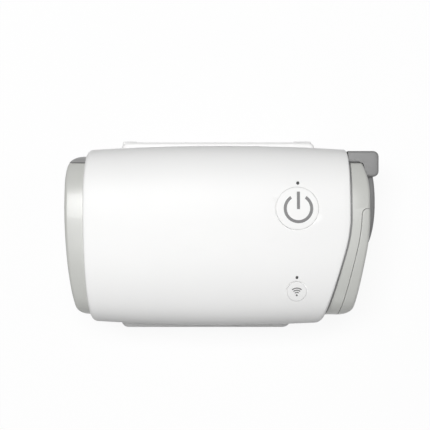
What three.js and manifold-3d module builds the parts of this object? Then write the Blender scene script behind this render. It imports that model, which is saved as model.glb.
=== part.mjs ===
// A small travel breathing-air machine: a barrel-shaped sleeve on a flat base, with a filter cover on the
// left end, an air outlet and a power socket on the right end, two push buttons on top, and inside a
// blower on rubber mounts, a muffler chamber, a circuit board and an outlet duct.
// Millimetres. +X points to the outlet end, +Y to the back, +Z up. The origin lies on the table, under
// the middle of the machine.
import * as THREE from "three";
import { mergeVertices } from "three/addons/utils/BufferGeometryUtils.js";
import Module from "manifold-3d";

const wasm = await Module();
wasm.setup();

// General clearances and cuts
const gap = 0.3; // between two pieces that seat on each other
const seam = 0.3; // open line between two halves of a moulding
const overrun = 4; // how far a cutting tool runs past what it cuts
const weld = 1e-5; // points closer than this are one

// Sleeve
const shellHalfWidth = 38.4;
const shellHalfHeight = 24.6;
const shellWall = 2.4;
const sideTaper = 1.9; // how much the half width draws in towards the ends
const topTaper = 1.2; // the same for the half height
const leftReach = 57.1; // from the middle of the machine to the left mouth
const leftCrownPlace = 16; // how far back the left mouth reaches furthest
const leftCrownRadius = 570; // of the left mouth seen from above
const rightReach = 53.2; // to the straight back half of the right mouth
const rightBendPlace = 8; // where the right mouth starts to slant
const rightBendLength = 14;
const rightSlantShare = 0.29; // millimetres to the left for each one to the front
const mouthRound = 2.2;
const partingDrop = 11.2; // how far the parting line lies under the sleeve's axis
const sectionPower = 3.2; // 2 is an ellipse, more is squarer

// How many corners round forms have
const sectionCorners = 32;
const fineCorners = 24;
const ductCorners = 20;
const roundCorners = 12;
const smallCorners = 8;

// Base
const footStand = 1;
const baseFloor = 1.3; // least thickness, under the middle of the sleeve
const baseHeight = 9.2;
const railReach = 3.6; // how far the rails look out past the sleeve
const baseLeftSetIn = 12.1; // from the sleeve's mouth to the end of the base
const baseRightFrontSetIn = 21.9;
const baseRightBackSetIn = 10.4;
const baseCorner = 3;
const baseBevel = 1.2;
const padProud = 0.5;
const padLengthLeft = 6.8;
const padLengthRight = 8.6;
const footRadius = 5;
const footRecess = 0.6;

// Screws that hold base, lower and upper sleeve together
const screwRadius = 1.5;
const screwHeadRadius = 2.8;
const screwHeadHeight = 2;
const screwSink = 0.5;
const bossRadius = 3.2;
const bossHeight = 13.5;
const bossSetIn = 7; // from the ends of the base
const bossWeld = 0.4; // how far a boss runs into the sleeve's side wall
const webHalf = 0.8; // half the thickness of the web between a boss and the side wall
const screwBite = 11;

// Blower
const blowerSetLeft = 4.05; // of the wheel's axis, from the middle between the sleeve's mouths
const tongueGap = 1.3; // between the wheel and the volute where it is tightest
const voluteSpread = 4.8; // how much further out the volute lies after one full turn
const hornBore = 6.5; // radius of the outlet duct
const voluteWall = 1.6;
const runningGap = 0.7; // round the wheel
const bladeCount = 9;
const bladeThickness = 1;
const wheelPlate = 1.2;
const hubRise = 3.6; // of the hub over the plate
const coneRise = 0.3; // of the plate at the eye
const hubRadius = 3.6;
const eyeRadius = 7.5;
const shaftRadius = 1.5;
const bearingRadius = 4;
const motorRadius = 14;
const motorWall = 1.4;
const motorFloorClear = 2;
const magnetRadius = 5.6;
const statorInner = 6.2;
const mountSetback = 5.2; // of a rubber mount from the volute's wall
const mountPin = 1.6;
const mountNeck = 3.2;
const mountFlange = 4.5;
const mountFlangeHeight = 1.9;
const earHeight = 2.4;
const earRim = 2;
const postRadius = 3.6;

// Buttons: start and stop, and wireless
const startSetIn = 22.1; // from the sleeve's right mouth to the middle of the button
const startY = 11.4;
const startRadius = 8.65;
const wirelessSetIn = 22.2;
const wirelessSideSetIn = 15.6; // from the sleeve's side to the middle of the button
const wirelessRadius = 3.9;
const buttonProud = 0.4;
const buttonTravel = 0.6;
const buttonSkin = 1.8;
const buttonRim = 1.2; // thickness of the skirt under the cap
const lugProud = 1; // how far a lug looks out past the skirt
const lugHeight = 1.2;
const stemRadius = 1.3;
const ringWidth = 0.35; // chamfer round each hole
const lampRadius = 0.65;
const lampHole = 0.85;
const lampSetback = 10.4; // start lamp behind the middle of its button
const wirelessLampSetback = 5.9;

// Circuit board
const boardSetIn = 14.8; // from the sleeve's right mouth
const boardClear = 4; // from the muffler chamber
const boardFrontSetIn = 10.4; // from the sleeve's side
const boardBackSetIn = 12.4;
const boardThickness = 1.6;
const boardScrewRadius = 0.9;
const boardScrewHead = 1.8;
const boardPostRadius = 2.2;
const boardScrewBite = 3; // into a post
const boardEdge = 3; // from the board's edge to a post's middle
const chipHalf = 3;
const chipSetIn = 9; // from the board's left edge
const capacitorRadius = 3;
const capacitorHeight = 5.7;
const capacitorPlace = 12; // in front of the board's middle
const switchHalf = 3;
const switchHeight = 3.2;
const smallSwitchHalf = 2.1;
const smallSwitchHeight = 2.4;
const plungerRadius = 1.2;
const plungerProud = 1;
const sensorHalf = 3;

// Muffler chamber
const plenumWall = 1.4;
const plenumHalfDepth = 21;
const plenumDeep = 11; // along X, the tall part
const plenumPast = 11; // how far the chamber runs on to the right of the wheel's axis
const plenumDrop = 15; // of the tall part's floor under the axis
const foamClear = 0.6;
const foamHole = 2.2;
const foamAcrossShares = [-0.6, -0.2, 0.2, 0.6];
const foamUpShares = [0.25, 0.5, 0.75];

// Ends
const mouthTuck = 3; // how far an end cover reaches into the sleeve's mouth
const frameDepth = 4.2; // length of an end frame's rim behind the cover
const frameWall = 2;
const coverWall = 1.8;
const coverEdge = 1.4; // rounding of the covers' outer edge
const coverCorner = 4; // rounding of their corners, seen from above
const coverBackSetIn = 3.4; // of the covers' back side, where the frames' dark bands start
const leftEndProud = 8; // how far the left end stands out past the sleeve's mouth
const leftEndFrontPlace = 14; // in front of this the left end, seen from above, bows back
const leftEndFrontRadius = 245;
const leftEndBackPlace = 22;
const leftEndBackRadius = 41;
const slotCount = 9;
const slotWidth = 2.2;
const slotPitch = 4.8;
const slotHalfHeight = 9;
const gridBars = 4;
const gridHalfDepth = 15;
const gridHalfHeight = 11;
const gridBar = 1.6;
const filterHalfDepth = 21;
const filterHalfHeight = 12.5;
const filterThick = 5;
const filterRim = 1.6;
const pleatCount = 12;
const pleatSheet = 0.7;
const catchHalf = 8;

// Right end
const rightEndProud = 8.5; // how far the right end stands out past the sleeve's mouth
const rightEndCrownPlace = 17;
const rightEndBackRadius = 40;
const rightEndBendPlace = 8;
const rightEndBendLength = 15;
const rightEndSlantShare = 0.196;
const bezelPast = 27.3; // from the outlet's axis to the outlet panel's back edge
const bezelInboard = 3.4;
const bezelSplayShare = 0.05; // how much faster than the end the seam slants
const bezelCorner = 2;
const bezelShares = [0, 0.3, 0.6, 0.75, 0.87, 0.97]; // places along the seam from the front to its corner
const portRadius = 11.8;
const portWall = 1.6;
const nozzleOuter = 11;
const nozzleTip = 10.6;
const nozzleBore = 8.6;
const nozzleFlange = 1.6;
const nozzleSetIn = 2.1; // from the panel to the nozzle's tip
const wellDepth = 14.6; // from the panel to the nozzle's flange
const nozzleNeck = 12; // behind the flange
const sleeveWall = 1.5;
const sleeveCrestProud = 0.6; // of the soft duct's swelling over the joint
const sleeveLap = 4.5;
const ductGap = 3; // between the horn and the nozzle, bridged by the soft sleeve
const bulgeProud = 3.15; // how far the bulge stands out past the end
const bulgeCrownPast = 29.5; // from the outlet's axis to the bulge's crown
const bulgeFrontRadius = 64; // of the bulge seen from above, in front of its crown
const bulgeBackRadius = 130;
const bulgePast = 10; // from the outlet's axis to the front of the bulge
const bulgeTuck = 4.5; // how far the bulge runs in behind the corner block
const bulgeHalfHeight = 13;
const bulgeRound = 3;
const pillarProud = 4.7; // how far the corner block stands out past the end
const pillarBackProud = 1.9; // how far the block stands out behind the covers
const pillarDepth = 10.9;
const pillarCorner = 2.4;
const pillarRound = 1;
const socketPast = 27.5; // from the outlet's axis to the middle of the power socket
const socketHalfWidth = 6.4;
const socketHalfHeight = 4.6;
const socketDepth = 10;
const socketWall = 1.1;
const pinRadius = 0.9;
const pinPitch = 3.4;
const pinLength = 4;

// Values that follow
const axisHeight = footStand + baseFloor + gap + shellHalfHeight;
const partingHeight = axisHeight - partingDrop;
const baseHalfDepth = shellHalfWidth + railReach;
const shellFloor = axisHeight - shellHalfHeight + shellWall;
const blowerX = (rightReach - leftReach) / 2 - blowerSetLeft;
const [startX, wirelessX] = [rightReach - startSetIn, rightReach - wirelessSetIn];
const wirelessY = wirelessSideSetIn - shellHalfWidth;
const [boardFront, boardBack] = [shellHalfWidth - boardFrontSetIn, shellHalfWidth - boardBackSetIn];
const baseLeft = leftReach - baseLeftSetIn;
const baseRightFront = rightReach - baseRightFrontSetIn;
const baseRightBack = rightReach - baseRightBackSetIn;
const leftEndReach = leftReach + leftEndProud;
const rightEndReach = rightReach + rightEndProud;
const bulgeReach = rightEndReach + bulgeProud;
const pillarReach = rightEndReach + pillarProud;

const halfWidthAt = (x) => shellHalfWidth - sideTaper * (x / leftReach) ** 2;
const halfHeightAt = (x) => shellHalfHeight - topTaper * (x / leftReach) ** 2;

// How far an end that bends and then slants draws back, for a distance past the start of its bend
const slanted = (past, bend, slantShare) =>
  slantShare * (past <= 0 ? 0 : past < bend ? past ** 2 / (2 * bend) : past - bend / 2);

// The two mouths seen from above: x of the rim for a given y
const leftMouth = (y) => (y - leftCrownPlace) ** 2 / (2 * leftCrownRadius) - leftReach;
const rightMouth = (y) => rightReach - slanted(rightBendPlace - y, rightBendLength, rightSlantShare);

// The wheel is as large as the sleeve's side wall and the rubber mount beside the horn allow
const spiralTurns = 1.75 * Math.PI;
const spiralSpread = (turn) => tongueGap + (voluteSpread * turn) / (2 * Math.PI);
const mountRoom = shellHalfWidth - sideTaper - shellWall - gap - mountFlange - mountSetback;
const impellerRadius = mountRoom - voluteWall - spiralSpread(spiralTurns);
const outletY = hornBore - impellerRadius - spiralSpread(spiralTurns);

// Half the depth of the covers, and what lies along the right end's back half
const coverHalf = halfWidthAt(leftReach) - shellWall - gap;
const coverBackLine = coverHalf - coverBackSetIn;
const pillarBack = coverHalf + pillarBackProud;
const pillarFront = pillarBack - pillarDepth;
const bulgeBack = pillarFront + bulgeTuck;
const bulgeFront = outletY + bulgePast;
const socketPlace = outletY + socketPast;
const bezelBack = outletY + bezelPast;

// The two ends seen from above, with round corners where they meet the sides
const cornerDrop = (y) => {
  const past = Math.min(Math.max(Math.abs(y) - (coverHalf - coverCorner), 0), coverCorner);
  return coverCorner - Math.sqrt(coverCorner ** 2 - past ** 2);
};
const leftEnd = (y) => {
  const front = Math.max(leftEndFrontPlace - y, 0) ** 2 / (2 * leftEndFrontRadius);
  const behind = Math.max(y - leftEndBackPlace, 0) ** 2 / (2 * leftEndBackRadius);
  return front + behind + cornerDrop(y) - leftEndReach;
};
// Reach of the filter's outer face inside the left cover
const filterFront = -leftEnd(-filterHalfDepth) - coverWall - gap;
const rightEnd = (y) => {
  const behind = Math.max(y - rightEndCrownPlace, 0) ** 2 / (2 * rightEndBackRadius);
  const slant = slanted(rightEndBendPlace - y, rightEndBendLength, rightEndSlantShare);
  return rightEndReach - behind - slant - cornerDrop(y);
};

// Solids
function solidOf(geometry) {
  geometry.deleteAttribute("normal");
  geometry.deleteAttribute("uv");
  const merged = mergeVertices(geometry, weld);
  return new wasm.Manifold(
    new wasm.Mesh({
      numProp: 3,
      vertProperties: new Float32Array(merged.attributes.position.array),
      triVerts: new Uint32Array(merged.index.array),
    }),
  );
}

function geometryOf(solid) {
  const data = solid.getMesh();
  const geometry = new THREE.BufferGeometry();
  geometry.setAttribute("position", new THREE.BufferAttribute(data.vertProperties, 3));
  geometry.setIndex(new THREE.BufferAttribute(data.triVerts, 1));
  geometry.computeVertexNormals();
  return geometry;
}

const joined = (solids) => solids.reduce((sum, solid) => sum.add(solid));

function box(x0, x1, y0, y1, z0, z1) {
  const geometry = new THREE.BoxGeometry(x1 - x0, y1 - y0, z1 - z0);
  geometry.translate((x0 + x1) / 2, (y0 + y1) / 2, (z0 + z1) / 2);
  return solidOf(geometry);
}

// A turned piece: profile points are [radius, place along the axis]
const turnTo = {
  z: (geometry) => geometry.rotateX(Math.PI / 2),
  x: (geometry) => geometry.rotateZ(-Math.PI / 2),
};
function turned(profile, axis, x, y, z, corners = roundCorners) {
  const points = profile.map(([radius, along]) => new THREE.Vector2(radius, along));
  const geometry = turnTo[axis](new THREE.LatheGeometry(points, corners));
  geometry.translate(x, y, z);
  return solidOf(geometry);
}

const rodProfile = (radius, from, to) => [[0, from], [radius, from], [radius, to], [0, to]];
const ringProfile = (inner, outer, from, to) => [
  [inner, from], [outer, from], [outer, to], [inner, to], [inner, from],
];
const rod = (radius, from, to, x, y, corners) => turned(rodProfile(radius, from, to), "z", x, y, 0, corners);
const rodX = (radius, from, to, y, z, corners) => turned(rodProfile(radius, from, to), "x", 0, y, z, corners);

// An outline in plan, pulled up from one height to another
function raised(points, z0, z1, bevel = 0) {
  const shape = new THREE.Shape(points.map(([x, y]) => new THREE.Vector2(x, y)));
  const geometry = new THREE.ExtrudeGeometry(shape, {
    depth: z1 - z0 - 2 * bevel,
    bevelEnabled: bevel > 0,
    bevelThickness: bevel,
    bevelSize: bevel,
    bevelOffset: -bevel,
    bevelSegments: 2,
    steps: 1,
  });
  geometry.translate(0, 0, z0 + bevel);
  return solidOf(geometry);
}

// Points of a round corner in plan about its centre. Quarter 0 turns from +X to +Y.
const roundCorner = (x, y, radius, quarter) =>
  [0, 1, 2].map((step) => {
    const turn = ((quarter + step / 2) * Math.PI) / 2;
    return [x + radius * Math.cos(turn), y + radius * Math.sin(turn)];
  });

// A closed skin over rings of equally many points that mirror up and down. Each end is closed by strips
// between the upper and the lower half.
function loft(rings) {
  const count = rings[0].length;
  const points = rings.flat();
  const faces = [];
  for (let r = 0; r + 1 < rings.length; r += 1) {
    for (let k = 0; k < count; k += 1) {
      const next = (k + 1) % count;
      const [a, b, c, d] = [r * count + k, r * count + next, (r + 1) * count + next, (r + 1) * count + k];
      faces.push(a, b, c, a, c, d);
    }
  }
  const cap = (start, flip) => {
    for (let k = 0; k < count / 2; k += 1) {
      const [upper, upperNext] = [start + k, start + k + 1];
      const [lower, lowerNext] = [start + ((count - k) % count), start + count - k - 1];
      const pair = [[upper, upperNext, lowerNext], [upper, lowerNext, lower]];
      pair.filter((face) => new Set(face).size === 3).forEach(([a, b, c]) => {
        faces.push(...(flip ? [a, c, b] : [a, b, c]));
      });
    }
  };
  cap(0, true);
  cap((rings.length - 1) * count, false);
  const geometry = new THREE.BufferGeometry().setFromPoints(points);
  geometry.setIndex(faces);
  return solidOf(geometry);
}

// One ring of a squarish oval in the YZ plane, bent to x = xAt(y). sizeAt gives [half width, half height].
function ovalRing(sizeAt, xAt, centreY = 0) {
  const power = 2 / sectionPower;
  const squared = (value) => Math.sign(value) * Math.abs(value) ** power;
  return Array.from({ length: sectionCorners }, (_, k) => {
    const turn = (2 * Math.PI * k) / sectionCorners;
    const [across, up] = [squared(Math.cos(turn)), squared(Math.sin(turn))];
    const x = xAt(centreY + sizeAt(0)[0] * across);
    const [halfWidth, halfHeight] = sizeAt(x);
    return new THREE.Vector3(x, centreY + halfWidth * across, axisHeight + halfHeight * up);
  });
}

// Quarter-round steps: how far along and how far inwards each ring of a rounded rim lies
const rimTurns = [0, 1, 2].map((step) => (step * Math.PI) / 4);
const rimSteps = (round) => rimTurns.map((turn) => ({
  along: round * (1 - Math.cos(Math.PI / 2 - turn)),
  inward: round * (1 - Math.sin(Math.PI / 2 - turn)),
}));
const barrelPlaceShares = [0.3, 0.7];

// The sleeve's form. inset moves its surface inwards, past lengthens it at both mouths, round rolls its rims.
function barrel(inset, past, round = 0) {
  const sizeAt = (inward) => (x) =>
    [halfWidthAt(x) - inset - inward, halfHeightAt(x) - inset - inward];
  const leftEnd = (along) => (y) => leftMouth(y) - past + along;
  const rightEnd = (along) => (y) => rightMouth(y) + past - along;
  const steps = round > 0 ? rimSteps(round).reverse() : [{ along: 0, inward: 0 }];
  const between = (share) => (y) => leftMouth(y) + share * (rightMouth(y) - leftMouth(y));
  return loft([
    ...steps.map(({ along, inward }) => ovalRing(sizeAt(inward), leftEnd(along))),
    ...barrelPlaceShares.map((share) => ovalRing(sizeAt(0), between(share))),
    ...steps.reverse().map(({ along, inward }) => ovalRing(sizeAt(inward), rightEnd(along))),
  ]);
}

// A squarish form along X between curved cross cuts. A station is [x for a given y, side inset, top inset].
function form(sizeAt, centreY, stations) {
  return loft(stations.map(([xAt, side, top]) =>
    ovalRing((x) => [sizeAt(x)[0] - side, sizeAt(x)[1] - top], xAt, centreY)));
}
const mouthSize = (x) => [halfWidthAt(x) - shellWall - gap, halfHeightAt(x) - shellWall - gap];
const intoMouth = (depth) => (y) => leftMouth(y) + depth;
const outOfMouth = (depth) => (y) => rightMouth(y) - depth;

const farAway = 10 * leftReach;
const above = (z) => box(-farAway, farAway, -farAway, farAway, z, z + farAway);
const below = (z) => box(-farAway, farAway, -farAway, farAway, z - farAway, z);

// Finishes
const finish = (color, roughness, metalness = 0) =>
  new THREE.MeshStandardMaterial({ color, roughness, metalness });
const white = finish(0xf4f4f3, 0.42);
const lightGrey = finish(0xc7c8c3, 0.3);
const darkGrey = finish(0x8b8c8d, 0.5);
const rubber = finish(0x2b2c2e, 0.85);
const steel = finish(0xb9bcc0, 0.3, 1);

const machine = new THREE.Group();
function place(name, solid, material) {
  const mesh = new THREE.Mesh(geometryOf(solid), material);
  mesh.name = name;
  machine.add(mesh);
  return solid;
}

// Where the four long screws stand
const bossY = shellHalfWidth - sideTaper - shellWall - bossRadius + bossWeld;
const baseRightAt = (y) => {
  const share = (y + baseHalfDepth) / (2 * baseHalfDepth);
  return baseRightFront + share * (baseRightBack - baseRightFront);
};
const bossPlaces = [
  [bossSetIn - baseLeft, -bossY],
  [bossSetIn - baseLeft, bossY],
  [baseRightAt(-bossY) - bossSetIn, -bossY],
  [baseRightAt(bossY) - bossSetIn, bossY],
];
const screwHole = screwRadius + gap;

// Base plate: a tray that follows the sleeve, with a rail at the front and the back
const railBack = baseHalfDepth - padProud;
const baseOutline = [
  ...roundCorner(baseCorner - baseLeft, baseCorner - baseHalfDepth, baseCorner, 2),
  ...roundCorner(baseRightFront - baseCorner, baseCorner - baseHalfDepth, baseCorner, 3),
  ...roundCorner(baseRightBack - baseCorner, railBack - baseCorner, baseCorner, 0),
  ...roundCorner(baseCorner - baseLeft, railBack - baseCorner, baseCorner, 1),
];
const headTop = footStand + screwSink + screwHeadHeight;
const footPlaces = bossPlaces.map(([x, y]) => [
  x,
  Math.sign(y) * (Math.abs(y) - screwHeadRadius - gap - footRadius - gap - baseCorner),
]);

function basePlate() {
  const top = footStand + baseHeight;
  const pad = (x0, x1) =>
    raised(
      [
        [x0, baseHalfDepth - railReach],
        [x1, baseHalfDepth - railReach],
        [x1, railBack],
        [x1 - padProud, baseHalfDepth],
        [x0 + padProud, baseHalfDepth],
        [x0, railBack],
      ],
      footStand + baseBevel,
      top - baseBevel,
    );
  const leftPad = pad(padProud - baseLeft, padProud - baseLeft + padLengthLeft);
  const padEnd = baseRightBack - baseCorner / 2;
  const rightPad = pad(padEnd - padLengthRight, padEnd);
  let plate = raised(baseOutline, footStand, top, baseBevel).add(leftPad).add(rightPad);
  plate = plate.subtract(barrel(-gap, overrun));
  bossPlaces.forEach(([x, y]) => {
    plate = plate.subtract(rod(screwHole, 0, top, x, y, smallCorners));
    plate = plate.subtract(rod(screwHeadRadius + gap, 0, headTop + gap, x, y, smallCorners));
  });
  footPlaces.forEach(([x, y]) => {
    plate = plate.subtract(rod(footRadius + gap, 0, footStand + footRecess + gap, x, y));
  });
  return plate;
}

const shellTube = barrel(0, 0, Math.min(mouthRound, shellWall)).subtract(barrel(shellWall, overrun));
const shellBody = barrel(shellWall / 2, 0);

// A round boss for a long screw, with a web to the side wall
function screwBoss(x, y, z0, z1) {
  const side = Math.sign(y) * shellHalfWidth;
  const web = box(x - webHalf, x + webHalf, Math.min(y, side), Math.max(y, side), z0, z1);
  return rod(bossRadius, z0, z1, x, y).add(web).intersect(shellBody);
}

function lowerShell() {
  let shell = shellTube.intersect(below(partingHeight - seam / 2));
  bossPlaces.forEach(([x, y]) => {
    shell = shell.add(screwBoss(x, y, 0, partingHeight - seam / 2));
  });
  bossPlaces.forEach(([x, y]) => {
    shell = shell.subtract(rod(screwHole, 0, partingHeight, x, y, smallCorners));
  });
  return shell;
}

function upperShell() {
  let shell = shellTube.intersect(above(partingHeight + seam / 2));
  const bossTop = partingHeight + bossHeight;
  bossPlaces.forEach(([x, y]) => {
    shell = shell.add(screwBoss(x, y, partingHeight + seam / 2, bossTop));
    const bite = rod(screwHole, partingHeight, partingHeight + screwBite + gap, x, y, smallCorners);
    shell = shell.subtract(bite);
  });
  return shell;
}

bossPlaces.forEach(([x, y], index) => {
  const profile = [
    [0, footStand + screwSink],
    [screwHeadRadius, footStand + screwSink],
    [screwHeadRadius, headTop],
    [screwRadius, headTop],
    [screwRadius, partingHeight + screwBite],
    [0, partingHeight + screwBite],
  ];
  place(`housing_screw_${index + 1}`, turned(profile, "z", x, y, 0, smallCorners), steel);
});

footPlaces.forEach(([x, y], index) => {
  place(`base_foot_${index + 1}`, rod(footRadius, 0, footStand + footRecess, x, y), rubber);
});

// Height of the sleeve's top over a place, its surface moved in by inset
function sleeveTop(x, y, inset) {
  const across = Math.min(Math.abs(y) / (halfWidthAt(x) - inset), 1);
  return axisHeight + (halfHeightAt(x) - inset) * (1 - across ** sectionPower) ** (1 / sectionPower);
}
const ceilingOver = (x, y, radius) => sleeveTop(x + radius, Math.abs(y) + radius, shellWall);

// Muffler chamber's reach to the right, and the circuit board beside it, hung under the sleeve's top
const plenumRight = blowerX + plenumPast;
const boardLeft = plenumRight + boardClear;
const boardRight = rightReach - boardSetIn;
const hornOuter = hornBore + voluteWall;
const sleeveInner = hornOuter + gap;
const sleeveCrestRadius = sleeveInner + sleeveWall + sleeveCrestProud;
const boardBottom = axisHeight + sleeveCrestRadius + gap;
const boardTop = boardBottom + boardThickness;
const postPlaces = [
  [boardLeft + boardEdge, boardEdge - boardFront],
  [boardLeft + boardEdge, boardBack - boardEdge],
  [boardRight - boardEdge, boardBack - boardEdge],
  [boardRight - boardEdge, (startY + wirelessY) / 2],
];

function mainBoard() {
  let board = box(boardLeft, boardRight, -boardFront, boardBack, boardBottom, boardTop);
  board = board.subtract(form(() => [shellHalfWidth, shellHalfHeight], 0, [
    [outOfMouth(mouthTuck + frameDepth + 2 * gap), 0, 0], [outOfMouth(-overrun), 0, 0],
  ]));
  postPlaces.forEach(([x, y]) => {
    const hole = rod(boardScrewRadius + gap, boardBottom - gap, boardTop + gap, x, y, smallCorners);
    board = board.subtract(hole);
  });
  return board;
}

const buttons = [
  {
    name: "start_stop_button", part: "start", x: startX, y: startY, radius: startRadius, corners: fineCorners,
    lampX: startX + gap, lampY: startY + lampSetback,
    half: switchHalf, switchTop: boardTop + gap + switchHeight,
  },
  {
    name: "wireless_button", part: "wireless", x: wirelessX, y: wirelessY, radius: wirelessRadius,
    corners: ductCorners, lampX: wirelessX, lampY: wirelessY + wirelessLampSetback,
    half: smallSwitchHalf, switchTop: boardTop + gap + smallSwitchHeight,
  },
];

// A cap that follows the sleeve's top, with a skirt, a stem and four lugs that keep it in its hole
function pushButton({ x, y, radius, corners, switchTop }) {
  const lugTop = ceilingOver(x, y, radius + lugProud) - gap;
  const foot = lugTop - lugHeight;
  const roof = sleeveTop(x + radius, Math.abs(y) + radius, buttonSkin);
  const cap = rod(radius, foot, axisHeight + shellHalfHeight + overrun, x, y, corners);
  let button = cap.intersect(barrel(-buttonProud, 0));
  button = button.subtract(rod(radius - buttonRim, foot - gap, roof, x, y, corners));
  const stemFoot = switchTop + plungerProud + gap;
  button = button.add(rod(stemRadius, stemFoot, roof + buttonSkin / 2, x, y, smallCorners));
  for (let corner = 0; corner < 4; corner += 1) {
    const turn = ((corner + 0.5) * Math.PI) / 2;
    const reach = radius - buttonRim / 2;
    const [lugX, lugY] = [x + reach * Math.cos(turn), y + reach * Math.sin(turn)];
    const lug = rod(lugProud + buttonRim / 2, foot, lugTop, lugX, lugY, smallCorners);
    button = button.add(lug.subtract(rod(radius - buttonRim, foot - gap, lugTop + gap, x, y, corners)));
  }
  return button;
}

function buttonHole({ x, y, radius, corners, lampX, lampY }) {
  const bottom = axisHeight;
  const top = axisHeight + shellHalfHeight + overrun;
  const rim = sleeveTop(x, y, 0);
  const hole = rod(radius + gap, bottom, top, x, y, corners);
  const chamfer = [
    [0, rim - ringWidth], [radius + gap, rim - ringWidth], [radius + gap + ringWidth, rim],
    [radius + gap + ringWidth, top], [0, top],
  ];
  const lampWell = rod(lampHole, bottom, top, lampX, lampY, smallCorners);
  return hole.add(turned(chamfer, "z", x, y, 0, corners)).add(lampWell);
}

function lampLens({ lampX, lampY }) {
  const collar = 2 * lampRadius;
  const under = ceilingOver(lampX, lampY, collar) - gap;
  const foot = boardTop + 2 * gap + lampRadius;
  const pipe = rod(lampRadius, foot, axisHeight + 2 * shellHalfHeight, lampX, lampY, smallCorners);
  const flange = rod(collar, under - lampRadius, under, lampX, lampY, smallCorners);
  return pipe.add(flange).intersect(barrel(0, 0));
}

function pushSwitch({ x, y, half, switchTop }) {
  const body = box(x - half, x + half, y - half, y + half, boardTop + gap, switchTop);
  const wellFoot = switchTop - plungerProud - buttonTravel - gap;
  return body.subtract(rod(plungerRadius + gap, wellFoot, switchTop + overrun, x, y, smallCorners));
}

place("main_board", mainBoard(), finish(0x2f6b46, 0.55));
postPlaces.forEach(([x, y], index) => {
  const headBottom = boardBottom - gap - boardScrewRadius;
  const profile = [
    [0, headBottom], [boardScrewHead, headBottom], [boardScrewHead, boardBottom - gap],
    [boardScrewRadius, boardBottom - gap], [boardScrewRadius, boardTop + boardScrewBite],
    [0, boardTop + boardScrewBite],
  ];
  place(`board_screw_${index + 1}`, turned(profile, "z", x, y, 0, smallCorners), steel);
});
buttons.forEach((button) => {
  const { name, part, x, y, lampX, lampY, switchTop } = button;
  place(name, pushButton(button), white);
  place(`${part}_lamp_lens`, lampLens(button), finish(0x17181a, 0.2));
  place(`${part}_switch`, pushSwitch(button), finish(0x26282b, 0.6));
  const plunger = rod(plungerRadius, switchTop - plungerProud, switchTop + plungerProud, x, y, smallCorners);
  place(`${part}_switch_plunger`, plunger, rubber);
  const lamp = box(lampX - lampHole, lampX + lampHole, lampY - lampRadius, lampY + lampRadius,
    boardTop + gap, boardTop + gap + lampRadius);
  place(`${part}_lamp_led`, lamp, finish(0xd8d39a, 0.35));
});
const chipX = boardLeft + chipSetIn;
const chip = box(chipX - chipHalf, chipX + chipHalf, -chipHalf, chipHalf,
  boardTop + gap, boardTop + gap + boardThickness);
const capacitorTop = boardTop + gap + capacitorHeight;
const capacitor = rod(capacitorRadius, boardTop + gap, capacitorTop, chipX, -capacitorPlace);
place("controller_chip", chip, finish(0x1d1e20, 0.5));
place("storage_capacitor", capacitor, finish(0x3a3f55, 0.4));

// Blower: a volute in two halves round a bladed wheel, driven from below
const tongueTurn = -Math.PI / 4;
const spiralRadius = (turn, extra) => impellerRadius + spiralSpread(turn) + extra;
const nozzleReach = rightEnd(outletY) - nozzleSetIn;
const nozzleFlangePlace = rightEnd(outletY) - wellDepth;
const nozzleBack = nozzleFlangePlace - nozzleNeck;
const hornEnd = nozzleBack - ductGap;
const spiralSteps = 22;

function snail(extra) {
  return Array.from({ length: spiralSteps + 1 }, (_, step) => {
    const turn = (step / spiralSteps) * spiralTurns;
    const radius = spiralRadius(turn, extra);
    return [blowerX + radius * Math.cos(tongueTurn + turn), radius * Math.sin(tongueTurn + turn)];
  });
}

const voluteForm = raised(snail(voluteWall), axisHeight - hornOuter, axisHeight + hornOuter)
  .add(rodX(hornOuter, blowerX, hornEnd, outletY, axisHeight, ductCorners));
const voluteHollow = raised(snail(0), axisHeight - hornBore, axisHeight + hornBore)
  .add(rodX(hornBore, blowerX, hornEnd + overrun, outletY, axisHeight, ductCorners));

// Rubber mounts: three round the spiral and one beside the horn
const voluteBottom = axisHeight - hornOuter;
const mountTurns = [Math.PI / 2, Math.PI, 1.5 * Math.PI];
const spiralMounts = mountTurns.map((turn) => {
  const radius = spiralRadius(turn, voluteWall) + mountSetback;
  return { x: blowerX + radius * Math.cos(tongueTurn + turn), y: radius * Math.sin(tongueTurn + turn), turn };
});
const hornMount = { x: (blowerX + hornEnd) / 2, y: outletY - hornOuter - mountSetback };
const mounts = [...spiralMounts, hornMount];
const earHole = mountNeck + gap;
const earTop = voluteBottom + earHeight;

function voluteEar({ x, y }) {
  const inwards = new THREE.Vector2(blowerX - x, -y);
  inwards.setLength(mountSetback + voluteWall / 2);
  if (y === hornMount.y) inwards.set(0, mountSetback + hornOuter);
  const across = new THREE.Vector2(-inwards.y, inwards.x).setLength(earHole + earRim / 2);
  const web = raised([
    [x - across.x, y - across.y], [x - across.x + inwards.x, y - across.y + inwards.y],
    [x + across.x + inwards.x, y + across.y + inwards.y], [x + across.x, y + across.y],
  ].reverse(), voluteBottom, earTop);
  return rod(earHole + earRim, voluteBottom, earTop, x, y).add(web);
}

const motorTop = voluteBottom - gap;
const motorBottom = shellFloor + motorFloorClear;
const motorHeight = motorTop - motorBottom;
const bearingHeightShare = 0.2;
const bearingHeight = motorHeight * bearingHeightShare;
const bearingHole = bearingRadius + gap;
const shaftHole = shaftRadius + gap;
const bearingSeat = bearingHole + voluteWall;

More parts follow.
